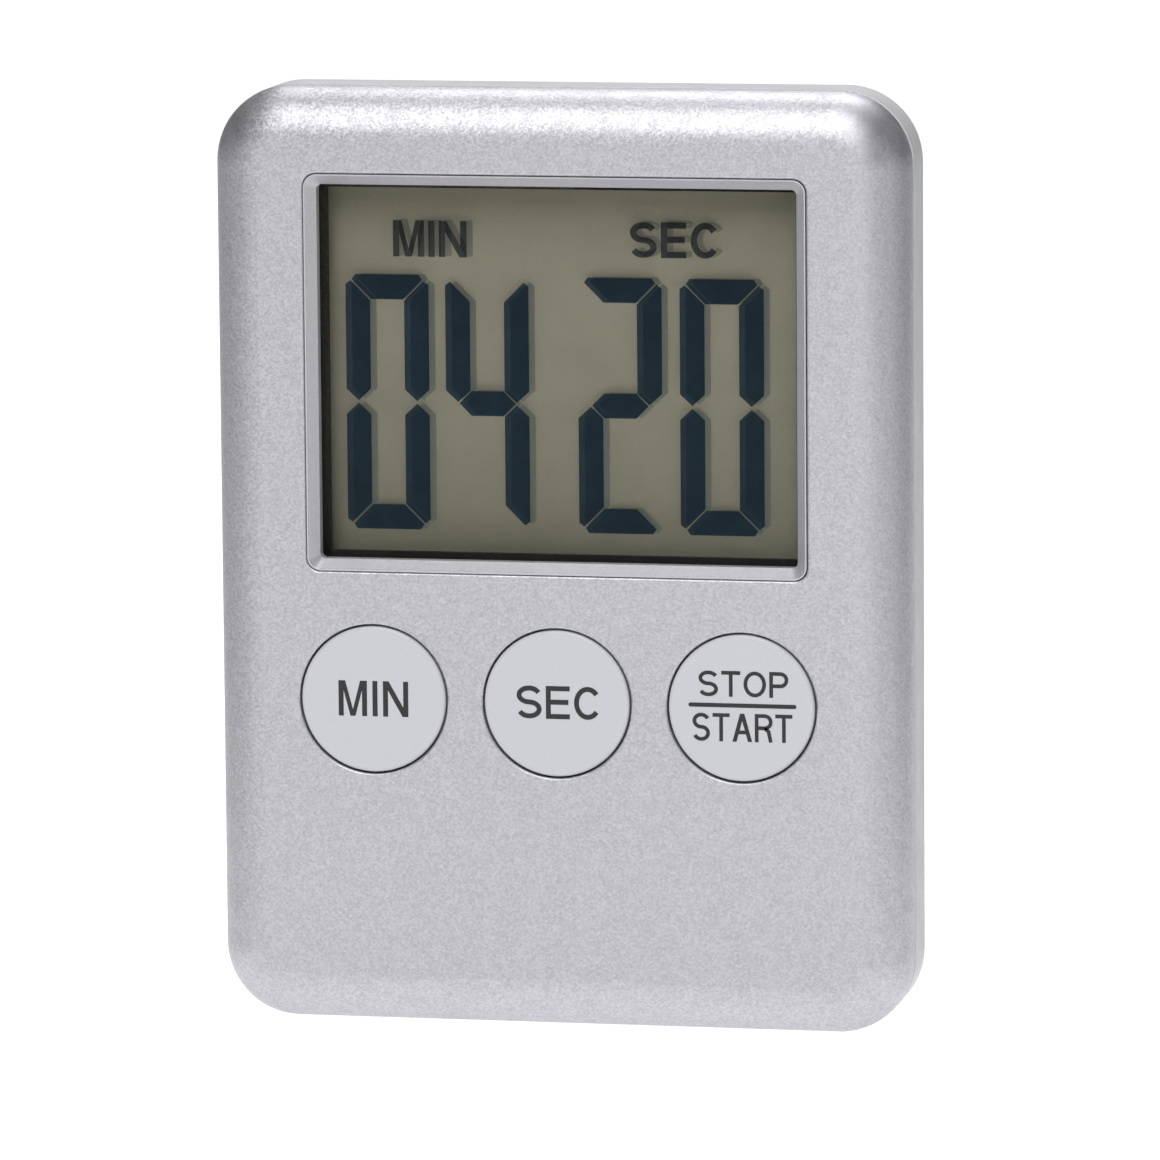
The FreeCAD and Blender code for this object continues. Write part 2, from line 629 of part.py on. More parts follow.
def rear_shell():
    outer = rounded_plate(HALF_WIDTH, BOTTOM, TOP, CORNER_RADIUS, REAR_SHELL_DEPTH, THICKNESS)
    outer = outer.makeFillet(REAR_EDGE_RADIUS, edges_at_depth(outer, THICKNESS))
    outer = outer.makeChamfer(RIM_CHAMFER, edges_at_depth(outer, REAR_SHELL_DEPTH))
    lip_inset = FRONT_SIDE_WALL + LIP_CLEARANCE
    lip = rounded_plate(
        HALF_WIDTH - lip_inset,
        BOTTOM + lip_inset,
        TOP - lip_inset,
        CORNER_RADIUS - lip_inset,
        REAR_SHELL_DEPTH - LIP_HEIGHT,
        REAR_SHELL_DEPTH,
    )
    cavity = rounded_plate(
        HALF_WIDTH - REAR_SIDE_WALL,
        BOTTOM + REAR_SIDE_WALL,
        TOP - REAR_SIDE_WALL,
        CORNER_RADIUS - REAR_SIDE_WALL,
        0,
        REAR_INNER,
    )
    shell = outer.fuse(lip).cut(cavity)

    door_collar_radius = DOOR_RECESS_RADIUS + POCKET_WALL
    fittings = [
        stand_backing(),
        magnet_pocket_backing(-1),
        magnet_pocket_backing(1),
        disc(0, CELL_Z, door_collar_radius, DOOR_LEDGE_FRONT, REAR_INNER),
        ring(
            0,
            SOUNDER_Z,
            SOUNDER_RADIUS - SOUNDER_SEAT_WIDTH,
            SOUNDER_RADIUS,
            SOUNDER_BACK,
            REAR_INNER,
        ),
    ]
    for x, z in case_screw_places():
        shell = shell.cut(disc(x, z, CASE_BOSS_RADIUS + BOSS_GAP, 0, REAR_SHELL_DEPTH))
        fittings.append(disc(x, z, CASE_BOSS_RADIUS, REAR_SHELL_DEPTH, REAR_INNER))
    shell = fuse_all([shell] + fittings)

    shell = shell.cut(disc(0, CELL_Z, DOOR_RECESS_RADIUS, DOOR_LEDGE_BACK, THICKNESS))
    shell = shell.cut(disc(0, CELL_Z, DOOR_HOLE_RADIUS, 0, THICKNESS))
    for side in (0, 180):
        notch = sector(
            0,
            DOOR_LUG_RADIUS + DOOR_CLEARANCE,
            side - DOOR_TURN,
            DOOR_NOTCH_ANGLE,
            DOOR_LEDGE_FRONT,
            THICKNESS,
        )
        shell = shell.cut(notch)
    shell = shell.cut(stand_channel())
    pin_half = CHANNEL_HALF + STAND_PIN_BITE
    shell = shell.cut(rod_along_x(-pin_half, pin_half, PIN_DEPTH, PIN_Z, STAND_PIN_RADIUS))
    for side in (-1, 1):
        shell = shell.cut(magnet_pocket(side))
    shell = shell.cut(disc(0, SOUNDER_Z, SOUND_HOLE_RADIUS, REAR_INNER, THICKNESS))
    for index in range(SOUND_HOLE_COUNT):
        turn = 2 * math.pi * index / SOUND_HOLE_COUNT
        x = SOUND_HOLE_CIRCLE * math.cos(turn)
        z = SOUNDER_Z + SOUND_HOLE_CIRCLE * math.sin(turn)
        shell = shell.cut(disc(x, z, SOUND_HOLE_RADIUS, REAR_INNER, THICKNESS))
    head_back = THICKNESS - CASE_SCREW_SUNK
    head_front = head_back - CASE_SCREW_HEAD_HEIGHT
    for x, z in case_screw_places():
        head_room = disc(x, z, CASE_SCREW_HEAD_RADIUS + HEAD_CLEARANCE, head_front, THICKNESS)
        shank_room = disc(x, z, CASE_SCREW_RADIUS + SHANK_CLEARANCE, 0, THICKNESS)
        shell = shell.cut(head_room).cut(shank_room)
    return shell.removeSplitter()


def case_screws():
    head_outer = THICKNESS - CASE_SCREW_SUNK
    tip = REAR_SHELL_DEPTH - CASE_SCREW_BITE
    screws = []
    for x, z in case_screw_places():
        screws.append(
            screw(
                x,
                z,
                head_outer,
                CASE_SCREW_HEAD_HEIGHT,
                CASE_SCREW_HEAD_RADIUS,
                CASE_SCREW_RADIUS,
                tip,
            )
        )
    return Part.makeCompound(screws)


# ---------------------------------------------------------------- window and display


def window_trim():
    half = WINDOW_HALF - TRIM_CLEARANCE
    bottom = WINDOW_BOTTOM + TRIM_CLEARANCE
    top = WINDOW_TOP - TRIM_CLEARANCE
    body = rounded_plate(half, bottom, top, WINDOW_CORNER, 0, FRONT_WALL)
    opening = rounded_plate(
        VIEW_HALF, VIEW_BOTTOM, VIEW_TOP, TRIM_INNER_CORNER, 0, FRONT_WALL
    )
    wide = rounded_outline(
        half - TRIM_LAND, bottom + TRIM_LAND, top - TRIM_LAND, WINDOW_CORNER - TRIM_LAND, 0
    )
    narrow = rounded_outline(
        VIEW_HALF, VIEW_BOTTOM, VIEW_TOP, TRIM_INNER_CORNER, TRIM_BEVEL_DEPTH
    )
    bevel = Part.makeLoft([wide, narrow], True, True)
    return body.cut(opening).cut(bevel).removeSplitter()


def display_lens():
    return rounded_plate(
        WINDOW_HALF + LENS_MARGIN,
        WINDOW_BOTTOM - LENS_MARGIN,
        WINDOW_TOP + LENS_MARGIN,
        WINDOW_CORNER,
        LENS_FRONT,
        LENS_BACK,
    )


def display_gasket():
    body = block(
        -GLASS_HALF, GLASS_HALF, FRONT_GLASS_BOTTOM, FRONT_GLASS_TOP, LENS_BACK, GASKET_BACK
    )
    opening = block(
        GASKET_INSET - VIEW_HALF,
        VIEW_HALF - GASKET_INSET,
        VIEW_BOTTOM + GASKET_INSET,
        VIEW_TOP - GASKET_INSET,
        LENS_BACK,
        GASKET_BACK,
    )
    return body.cut(opening)


def lcd_front_polariser():
    return block(
        -GLASS_HALF, GLASS_HALF, REAR_GLASS_BOTTOM, REAR_GLASS_TOP, GASKET_BACK, FRONT_GLASS_FRONT
    )


def lcd_front_glass():
    return block(
        -GLASS_HALF,
        GLASS_HALF,
        FRONT_GLASS_BOTTOM,
        FRONT_GLASS_TOP,
        FRONT_GLASS_FRONT,
        FRONT_GLASS_BACK,
    )


def lcd_rear_glass():
    return block(
        -GLASS_HALF, GLASS_HALF, REAR_GLASS_BOTTOM, REAR_GLASS_TOP, FRONT_GLASS_BACK, REAR_GLASS_BACK
    )


def lcd_rear_reflector():
    return block(
        -GLASS_HALF, GLASS_HALF, REAR_GLASS_BOTTOM, REAR_GLASS_TOP, REAR_GLASS_BACK, REFLECTOR_BACK
    )


def lcd_holder():
    """Frame round the glass, from the gasket to the board, with a rib that stops the glass."""
    bottom = FRONT_GLASS_BOTTOM - HOLDER_CLEARANCE
    top = FRONT_GLASS_TOP + HOLDER_CLEARANCE
    body = block(
        -HOLDER_HALF,
        HOLDER_HALF,
        bottom - HOLDER_WALL,
        top + HOLDER_WALL,
        GASKET_BACK,
        BOARD_FRONT,
    )
    body = body.cut(
        block(-HOLDER_INNER_HALF, HOLDER_INNER_HALF, bottom, top, GASKET_BACK, BOARD_FRONT)
    )
    rib = block(
        -HOLDER_INNER_HALF,
        HOLDER_INNER_HALF,
        REAR_GLASS_BOTTOM,
        REAR_GLASS_TOP,
        REFLECTOR_BACK,
        BOARD_FRONT,
    )
    rib = rib.cut(
        block(
            2 * HOLDER_WALL - HOLDER_INNER_HALF,
            HOLDER_INNER_HALF - 2 * HOLDER_WALL,
            REAR_GLASS_BOTTOM,
            REAR_GLASS_TOP,
            REFLECTOR_BACK,
            BOARD_FRONT,
        )
    )
    return body.fuse(rib).removeSplitter()


def zebra_strip(z_middle):
    half = GLASS_HALF - HOLDER_WALL
    return block(
        -half, half, z_middle - ZEBRA_WIDTH / 2, z_middle + ZEBRA_WIDTH / 2, FRONT_GLASS_BACK, BOARD_FRONT
    )


def zebra_strip_upper():
    return zebra_strip(REAR_GLASS_TOP + GLASS_LEDGE / 2)


def zebra_strip_lower():
    return zebra_strip(REAR_GLASS_BOTTOM - GLASS_LEDGE / 2)


# ---------------------------------------------------------------- circuit board


def circuit_board():
    board = block(-BOARD_HALF, BOARD_HALF, BOARD_BOTTOM, BOARD_TOP, BOARD_FRONT, BOARD_BACK)
    for side in (-1, 1):
        inner = side * (CASE_SCREW_X - BOARD_NOTCH)
        outer = side * HALF_WIDTH
        notch = block(
            min(inner, outer),
            max(inner, outer),
            CASE_SCREW_Z - BOARD_NOTCH,
            TOP,
            BOARD_FRONT,
            BOARD_BACK,
        )
        board = board.cut(notch)
    for x, z in board_screw_places():
        hole = disc(x, z, BOARD_SCREW_RADIUS + SHANK_CLEARANCE, BOARD_FRONT, BOARD_BACK)
        board = board.cut(hole)
    return board


def board_screws():
    screws = []
    for x, z in board_screw_places():
        screws.append(
            screw(
                x,
                z,
                BOARD_BACK + BOARD_SCREW_HEAD_HEIGHT,
                BOARD_SCREW_HEAD_HEIGHT,
                BOARD_SCREW_HEAD_RADIUS,
                BOARD_SCREW_RADIUS,
                BOARD_FRONT - BOARD_SCREW_BITE,
            )
        )
    return Part.makeCompound(screws)


def contact_comb(x_middle, side):
    """One half of an interleaved key contact: a spine with fingers reaching across."""
    spine_width = 2 * PAD_GAP
    spine_edge = x_middle + side * PAD_RADIUS
    spine_inner = spine_edge - side * spine_width
    low, high = KEY_ROW - PAD_RADIUS, KEY_ROW + PAD_RADIUS
    pieces = [
        block(
            min(spine_edge, spine_inner), max(spine_edge, spine_inner), low, high, PAD_FRONT, BOARD_FRONT
        )
    ]
    slots = 2 * PAD_FINGERS
    slot_height = (high - low) / slots
    far_end = x_middle - side * (PAD_RADIUS - spine_width - PAD_GAP)
    for finger in range(PAD_FINGERS):
        slot = 2 * finger + (side > 0)
        finger_low = low + slot * slot_height + PAD_GAP / 2
        finger_high = low + (slot + 1) * slot_height - PAD_GAP / 2
        pieces.append(
            block(
                min(far_end, spine_inner),
                max(far_end, spine_inner),
                finger_low,
                finger_high,
                PAD_FRONT,
                BOARD_FRONT,
            )
        )
    return fuse_all(pieces)


def key_contact_pads():
    pads = []
    for index in range(len(KEY_NAMES)):
        for side in (-1, 1):
            pads.append(contact_comb(key_x(index), side))
    return Part.makeCompound(pads)


def chip_blob():
    """Low epoxy cap over the bare timer chip."""
    sphere_radius = (BLOB_RADIUS ** 2 + BLOB_HEIGHT ** 2) / (2 * BLOB_HEIGHT)
    centre = point(0, BOARD_BACK + BLOB_HEIGHT - sphere_radius, TOP - BLOB_BELOW_TOP)
    ball = Part.makeSphere(sphere_radius, centre)
    cap = disc(0, TOP - BLOB_BELOW_TOP, BLOB_RADIUS, BOARD_BACK, BOARD_BACK + BLOB_HEIGHT)
    return ball.common(cap)


def crystal_can():
    """Watch-crystal can lying on the front of the board, with two bent leads."""
    x = HALF_WIDTH - CRYSTAL_INSET
    depth = BOARD_FRONT - CRYSTAL_RADIUS
    low = KEY_ROW - CRYSTAL_LENGTH / 2
    top = low + CRYSTAL_LENGTH
    axis = FreeCAD.Vector(0, 0, 1)
    pieces = [Part.makeCylinder(CRYSTAL_RADIUS, CRYSTAL_LENGTH, point(x, depth, low), axis)]
    half = CRYSTAL_LEAD / 2
    lead_end = top + CRYSTAL_LEAD_LENGTH
    for side in (-1, 1):
        lead_x = x + side * CRYSTAL_LEAD_SPACING / 2
        pieces.append(block(lead_x - half, lead_x + half, top, lead_end, depth - half, depth + half))
        pieces.append(
            block(lead_x - half, lead_x + half, lead_end - CRYSTAL_LEAD, lead_end, depth + half, BOARD_FRONT)
        )
    return fuse_all(pieces)


def chip_column(side, row_count):
    """Surface-mount chips stacked in a column on the rear of the board."""
    chips = []
    for row in range(row_count):
        z = TOP - SMALL_PART_BELOW_TOP - row * CHIP_PITCH
        x = side * CHIP_COLUMN
        chips.append(
            block(
                x - CHIP_LENGTH / 2,
                x + CHIP_LENGTH / 2,
                z - CHIP_WIDTH / 2,
                z + CHIP_WIDTH / 2,
                BOARD_BACK,
                BOARD_BACK + CHIP_HEIGHT,
            )
        )
    return Part.makeCompound(chips)


def chip_capacitors():
    return chip_column(1, 3)


def chip_resistors():
    return chip_column(-1, 3)


def driver_transistor():
    x = CHIP_COLUMN + CHIP_LENGTH / 2 + TRANSISTOR_LENGTH
    z = TOP - SMALL_PART_BELOW_TOP
    body = block(
        x - TRANSISTOR_LENGTH / 2,
        x + TRANSISTOR_LENGTH / 2,
        z - TRANSISTOR_WIDTH / 2,
        z + TRANSISTOR_WIDTH / 2,
        BOARD_BACK + SPRING_METAL,
        BOARD_BACK + TRANSISTOR_HEIGHT,
    )
    pieces = [body]
    leg_reach = TRANSISTOR_WIDTH / 2 + TRANSISTOR_LEG
    leg_places = ((x - TRANSISTOR_LEG_OFFSET, -1), (x + TRANSISTOR_LEG_OFFSET, -1), (x, 1))
    for leg_x, direction in leg_places:
        near = z
        far = z + direction * leg_reach
        pieces.append(
            block(
                leg_x - TRANSISTOR_LEG / 2,
                leg_x + TRANSISTOR_LEG / 2,
                min(near, far),
                max(near, far),
                BOARD_BACK,
                BOARD_BACK + SPRING_METAL,
            )
        )
    return fuse_all(pieces)


def boost_inductor():
    """Shielded drum inductor that steps the cell voltage up for the sounder."""
    x = -(CHIP_COLUMN + CHIP_LENGTH / 2 + INDUCTOR_SIZE)
    z = TOP - SMALL_PART_BELOW_TOP
    return block(
        x - INDUCTOR_SIZE / 2,
        x + INDUCTOR_SIZE / 2,
        z - INDUCTOR_SIZE / 2,
        z + INDUCTOR_SIZE / 2,
        BOARD_BACK,
        BOARD_BACK + INDUCTOR_HEIGHT,
    )


# ---------------------------------------------------------------- keys


def key_button(index):
    """Round key: cap, retaining flange with a guide notch, and the stem that presses the dome."""
    x = key_x(index)
    cap = disc(x, KEY_ROW, KEY_CAP_RADIUS, 0, KEY_FLANGE_FRONT)
    cap = cap.makeFillet(KEY_CAP_ROUND, edges_at_depth(cap, 0))
    flange = disc(x, KEY_ROW, KEY_FLANGE_RADIUS, KEY_FLANGE_FRONT, KEY_FLANGE_BACK)
    core = ring(x, KEY_ROW, KEY_CORE_INNER, KEY_CORE_OUTER, KEY_CORE_DEPTH, KEY_FLANGE_BACK)
    stem = disc(x, KEY_ROW, KEY_STEM_RADIUS, KEY_FLANGE_BACK, KEY_STEM_END)
    notch_radius = KEY_PEG_RADIUS + KEY_PEG_CLEARANCE
    notch = disc(
        x + KEY_PEG_OFFSET, KEY_ROW, notch_radius, KEY_FLANGE_FRONT - KEY_FLANGE_GAP, KEY_STEM_END
    )
    return fuse_all([cap, flange, stem]).cut(core).cut(notch)


def keypad_sheet():
    sheet = block(
        key_x(0) - SHEET_MARGIN,
        key_x(2) + SHEET_MARGIN,
        KEY_ROW - SHEET_MARGIN,
        KEY_ROW + SHEET_MARGIN,
        SHEET_FRONT,
        BOARD_FRONT,
    )
    for index in range(len(KEY_NAMES)):
        sheet = sheet.cut(disc(key_x(index), KEY_ROW, DOME_BASE_RADIUS, SHEET_FRONT, BOARD_FRONT))
    for x, z in board_screw_places():
        sheet = sheet.cut(disc(x, z, BOARD_POST_RADIUS + BOARD_CLEARANCE, SHEET_FRONT, BOARD_FRONT))
    return sheet


def rubber_dome(index):
    """Thin rubber cone whose flat top sits between the key stem and the carbon pill."""
    x = key_x(index)
    outline = (
        (0, DOME_TOP_FRONT),
        (DOME_TOP_RADIUS, DOME_TOP_FRONT),
        (DOME_BASE_RADIUS, SHEET_FRONT),
        (DOME_BASE_RADIUS, BOARD_FRONT),
        (DOME_BASE_RADIUS - DOME_WALL, BOARD_FRONT),
        (DOME_BASE_RADIUS - DOME_WALL, SHEET_FRONT),
        (DOME_TOP_RADIUS - DOME_WALL, DOME_TOP_BACK),
        (0, DOME_TOP_BACK),
        (0, DOME_TOP_FRONT),
    )
    corners = [point(x + radius, depth, KEY_ROW) for radius, depth in outline]
    face = Part.Face(Part.makePolygon(corners))
    return face.revolve(point(x, 0, KEY_ROW), FreeCAD.Vector(0, 1, 0), 360)


def carbon_pill(index):
    return disc(key_x(index), KEY_ROW, PILL_RADIUS, PILL_FRONT, PILL_BACK)


# ---------------------------------------------------------------- cell and contacts


def battery_cell_can():
    cup = disc(0, CELL_Z, CELL_RADIUS, CELL_CAN_FRONT, CELL_BACK)
    inside = disc(0, CELL_Z, CELL_RADIUS - CELL_METAL, CELL_CAN_FRONT, CELL_BACK - CELL_METAL)
    return cup.cut(inside)


def battery_cell_cap():
    cup = disc(0, CELL_Z, CELL_CAP_RADIUS, CELL_FRONT, CELL_BACK - 2 * CELL_METAL)
    inside = disc(
        0, CELL_Z, CELL_CAP_RADIUS - CELL_METAL, CELL_FRONT + CELL_METAL, CELL_BACK - 2 * CELL_METAL
    )
    return cup.cut(inside)


def battery_cell_seal():
    return ring(
        0,
        CELL_Z,
        CELL_CAP_RADIUS,
        CELL_RADIUS - CELL_METAL,
        CELL_CAN_FRONT,
        CELL_BACK - 2 * CELL_METAL,
    )


def battery_cell_core():
    """The cell chemistry, filling the space between cap and can."""
    inner = CELL_CAP_RADIUS - CELL_METAL
    column = disc(0, CELL_Z, inner, CELL_FRONT + CELL_METAL, CELL_BACK - CELL_METAL)
    base = disc(
        0, CELL_Z, CELL_RADIUS - CELL_METAL, CELL_BACK - 2 * CELL_METAL, CELL_BACK - CELL_METAL
    )
    return column.fuse(base).removeSplitter()


def contact_foot(side):
    """Solder foot that lies on the rear of the board and joins the contact's riser."""
    outer = side * (CONTACT_REACH + CONTACT_METAL / 2)
    inner = outer - side * CONTACT_FOOT_WIDTH
    return block(
        min(outer, inner),
        max(outer, inner),
        CELL_Z - CONTACT_WIDTH / 2,
        BOARD_BOTTOM + CONTACT_FOOT_OVERLAP,
        BOARD_BACK,
        BOARD_BACK + CONTACT_METAL,
    )


def battery_contact(side, spring_path):
    floor = FRONT_WALL + CONTACT_METAL / 2
    path = spring_path + [
        (side * CONTACT_REACH, floor),
        (side * CONTACT_REACH, BOARD_BACK + CONTACT_METAL / 2),
    ]
    low, high = CELL_Z - CONTACT_WIDTH / 2, CELL_Z + CONTACT_WIDTH / 2
    strip = bent_strip(path, CONTACT_METAL, low, high)
    return strip.fuse(contact_foot(side)).removeSplitter()


def battery_contact_negative():
    """Tongue under the cell that presses on its cap."""
    floor = FRONT_WALL + CONTACT_METAL / 2
    top = CELL_FRONT - CONTACT_METAL / 2
    spring = [
        (CONTACT_TONGUE, top),
        (-CONTACT_TONGUE, top),
        (-2 * CONTACT_TONGUE, floor),
    ]
    return battery_contact(-1, spring)


def battery_contact_positive():
    """Upright leaf that presses on the side of the can."""
    floor = FRONT_WALL + CONTACT_METAL / 2
    leaf_x = CELL_RADIUS + CONTACT_METAL / 2
    spring = [
        (leaf_x, FRONT_WALL + CONTACT_RISE),
        (leaf_x, floor),
    ]
    return battery_contact(1, spring)


def battery_door():
    """Twist-off door: coin-slot flange, skirt round the cell, and two bayonet lugs."""
    door = disc(0, CELL_Z, DOOR_FLANGE_RADIUS, DOOR_FLANGE_FRONT, THICKNESS)
    door = door.makeFillet(DOOR_EDGE_ROUND, edges_at_depth(door, THICKNESS))
    pieces = [
        door,
        disc(0, CELL_Z, DOOR_SKIRT_RADIUS, DOOR_CROWN_FRONT, DOOR_FLANGE_FRONT),
        ring(
            0, CELL_Z, DOOR_SKIRT_INNER, DOOR_SKIRT_RADIUS, DOOR_SKIRT_FRONT, DOOR_CROWN_FRONT
        ),
    ]
    for side in (0, 180):
        pieces.append(
            sector(
                DOOR_SKIRT_INNER + DOOR_SKIRT_WALL / 2,
                DOOR_LUG_RADIUS,
                side,
                DOOR_LUG_ANGLE,
                DOOR_LUG_BACK - DOOR_LUG_THICKNESS,
                DOOR_LUG_BACK,
            )
        )
    door = fuse_all(pieces)
    slot = block(
        -DOOR_SLOT_LENGTH / 2,
        DOOR_SLOT_LENGTH / 2,
        CELL_Z - DOOR_SLOT_WIDTH / 2,
        CELL_Z + DOOR_SLOT_WIDTH / 2,
        THICKNESS - DOOR_SLOT_DEPTH,
        THICKNESS,
    )
    return door.cut(slot)


# ---------------------------------------------------------------- stand, magnets, sounder


def kickstand():
    """Closed loop with a full-width barrel at its lower end."""
    loop = rounded_plate(
        STAND_HALF_WIDTH,
        PIN_Z - STAND_CORNER,
        STAND_TOP,
        STAND_CORNER,
        STAND_FRONT,
        THICKNESS,
    )
    loop = loop.cut(block(-WIDTH, WIDTH, BOTTOM, PIN_Z, 0, THICKNESS))
    opening = rounded_plate(
        STAND_HALF_WIDTH - STAND_BAR,
        PIN_Z - STAND_BARREL_RADIUS + STAND_BAR,
        STAND_TOP - STAND_BAR,
        STAND_CORNER / 2 + STAND_CLEARANCE,
        STAND_FRONT,
        THICKNESS,
    )
    barrel = rod_along_x(
        -STAND_HALF_WIDTH, STAND_HALF_WIDTH, PIN_DEPTH, PIN_Z, STAND_BARREL_RADIUS
    )
    bore = rod_along_x(
        -STAND_HALF_WIDTH, STAND_HALF_WIDTH, PIN_DEPTH, PIN_Z, STAND_PIN_RADIUS + STAND_PIN_FIT
    )
    return loop.cut(opening).fuse(barrel).cut(bore).removeSplitter()


def stand_pin():
    half = CHANNEL_HALF + STAND_PIN_BITE
    return rod_along_x(-half, half, PIN_DEPTH, PIN_Z, STAND_PIN_RADIUS)


def magnet(side):
    return block(
        side * MAGNET_X - MAGNET_WIDTH / 2,
        side * MAGNET_X + MAGNET_WIDTH / 2,
        MAGNET_BOTTOM,
        MAGNET_TOP,
        THICKNESS - MAGNET_THICKNESS,
        THICKNESS,
    )


def piezo_brass_disc():
    return disc(0, SOUNDER_Z, SOUNDER_RADIUS, SOUNDER_FRONT, SOUNDER_BACK)


def piezo_ceramic_disc():
    return disc(0, SOUNDER_Z, CERAMIC_RADIUS, CERAMIC_FRONT, SOUNDER_FRONT)


def spring_path(touch_x, touch_half, rise, foot_length, foot, surface):
    """Line of a leaf spring: a foot on the board, a slope, and a flat that meets the surface."""
    tip = surface - SPRING_METAL / 2
    slope_start = touch_x - touch_half - rise
    return [
        (slope_start - foot_length, foot),
        (slope_start, foot),
        (touch_x - touch_half, tip),
        (touch_x + touch_half, tip),
    ]


def piezo_contacts():
    """Two leaf springs on the board, one touching the ceramic and one the brass rim."""
    foot = BOARD_BACK + SPRING_METAL / 2
    rim = (SOUNDER_RADIUS + CERAMIC_RADIUS) / 2
    ceramic_path = spring_path(0, SPRING_TOUCH_HALF, SPRING_RISE, SPRING_FOOT, foot, CERAMIC_FRONT)
    brass_path = spring_path(rim, RIM_TOUCH_HALF, RIM_RISE, RIM_FOOT, foot, SOUNDER_FRONT)
    low, high = SOUNDER_Z - SPRING_WIDTH / 2, SOUNDER_Z + SPRING_WIDTH / 2
    springs = [bent_strip(path, SPRING_METAL, low, high) for path in (ceramic_path, brass_path)]
    return Part.makeCompound(springs)


# ---------------------------------------------------------------- write every node


def all_nodes():
    nodes = {
        "front_shell": front_shell(),
        "window_trim": window_trim(),
        "display_lens": display_lens(),
        "display_gasket": display_gasket(),
        "lcd_front_polariser": lcd_front_polariser(),
        "lcd_front_glass": lcd_front_glass(),
        "lcd_rear_glass": lcd_rear_glass(),
        "lcd_rear_reflector": lcd_rear_reflector(),
        "lcd_holder": lcd_holder(),
        "zebra_strip_upper": zebra_strip_upper(),
        "zebra_strip_lower": zebra_strip_lower(),
        "circuit_board": circuit_board(),
        "board_screws": board_screws(),
        "key_contact_pads": key_contact_pads(),
        "chip_blob": chip_blob(),
        "crystal_can": crystal_can(),
        "chip_capacitors": chip_capacitors(),
        "chip_resistors": chip_resistors(),
        "driver_transistor": driver_transistor(),
        "boost_inductor": boost_inductor(),
        "keypad_sheet": keypad_sheet(),
        "battery_cell_can": battery_cell_can(),
        "battery_cell_cap": battery_cell_cap(),
        "battery_cell_seal": battery_cell_seal(),
        "battery_cell_core": battery_cell_core(),
        "battery_contact_negative": battery_contact_negative(),
        "battery_contact_positive": battery_contact_positive(),
        "piezo_brass_disc": piezo_brass_disc(),
        "piezo_ceramic_disc": piezo_ceramic_disc(),
        "piezo_contacts": piezo_contacts(),
        "rear_shell": rear_shell(),
        "case_screws": case_screws(),
        "battery_door": battery_door(),
        "kickstand": kickstand(),
        "stand_pin": stand_pin(),
        "magnet_left": magnet(-1),
        "magnet_right": magnet(1),
    }
    for index, name in enumerate(KEY_NAMES):
        nodes["button_" + name] = key_button(index)
        nodes["dome_" + name] = rubber_dome(index)
        nodes["carbon_pill_" + name] = carbon_pill(index)
    return nodes


os.makedirs("parts", exist_ok=True)
for name, shape in all_nodes().items():
    shape.exportStep("parts/" + name + ".step")
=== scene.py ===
import math

import bmesh
import bpy
from mathutils import Matrix, Vector


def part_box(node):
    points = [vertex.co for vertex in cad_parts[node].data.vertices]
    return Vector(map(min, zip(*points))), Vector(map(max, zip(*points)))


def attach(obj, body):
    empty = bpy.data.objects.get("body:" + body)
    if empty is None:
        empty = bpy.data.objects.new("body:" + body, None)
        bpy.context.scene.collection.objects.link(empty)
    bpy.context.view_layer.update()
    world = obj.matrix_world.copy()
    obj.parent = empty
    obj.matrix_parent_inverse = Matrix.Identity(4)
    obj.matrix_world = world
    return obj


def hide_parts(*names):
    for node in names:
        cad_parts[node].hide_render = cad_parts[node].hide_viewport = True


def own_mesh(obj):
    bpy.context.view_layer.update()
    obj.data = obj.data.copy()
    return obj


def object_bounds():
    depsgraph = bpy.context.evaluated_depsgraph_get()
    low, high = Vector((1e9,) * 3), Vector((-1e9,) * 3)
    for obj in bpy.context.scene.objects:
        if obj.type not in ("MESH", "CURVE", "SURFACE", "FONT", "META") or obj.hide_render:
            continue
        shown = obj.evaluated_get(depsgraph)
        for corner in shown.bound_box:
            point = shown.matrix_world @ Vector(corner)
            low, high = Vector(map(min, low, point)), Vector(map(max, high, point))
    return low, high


# A slim silver countdown timer, standing on a pale floor in soft studio light.
# Everything is in metres, in the frame of the CAD model: X across, Z up, and the front faces -Y.

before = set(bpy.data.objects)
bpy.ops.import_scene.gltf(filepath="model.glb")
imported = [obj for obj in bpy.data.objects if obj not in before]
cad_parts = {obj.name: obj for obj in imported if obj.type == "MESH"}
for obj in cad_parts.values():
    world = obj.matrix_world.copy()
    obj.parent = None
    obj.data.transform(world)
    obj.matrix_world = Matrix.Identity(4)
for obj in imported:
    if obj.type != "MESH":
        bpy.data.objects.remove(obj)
cad_low, cad_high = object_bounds()

MM = 0.001


# ---------------------------------------------------------------- node helpers

# Blender's noise seldom leaves this range.
NOISE_LOW = 0.3
NOISE_HIGH = 0.7

BROAD_GRAIN = 12.0
ROUGHNESS_VARIES = 0.12


def new_material(name):
    """An empty node material with its output and the object's own coordinates, in metres."""
    material = bpy.data.materials.new(name)
    material.use_nodes = True
    nodes = material.node_tree.nodes
    nodes.clear()
    output = nodes.new("ShaderNodeOutputMaterial")
    place = nodes.new("ShaderNodeTexCoord")
    return material, nodes, material.node_tree.links, output, place.outputs["Object"]


def grey(value):
    return (value, value, value, 1.0)


def noise(nodes, links, place, size_mm):
    """Noise whose lumps are about size_mm across.  Returns its value, from 0 to 1."""
    texture = nodes.new("ShaderNodeTexNoise")
    texture.inputs["Scale"].default_value = 1 / (size_mm * MM)
    links.new(place, texture.inputs["Vector"])
    return texture.outputs["Fac"]


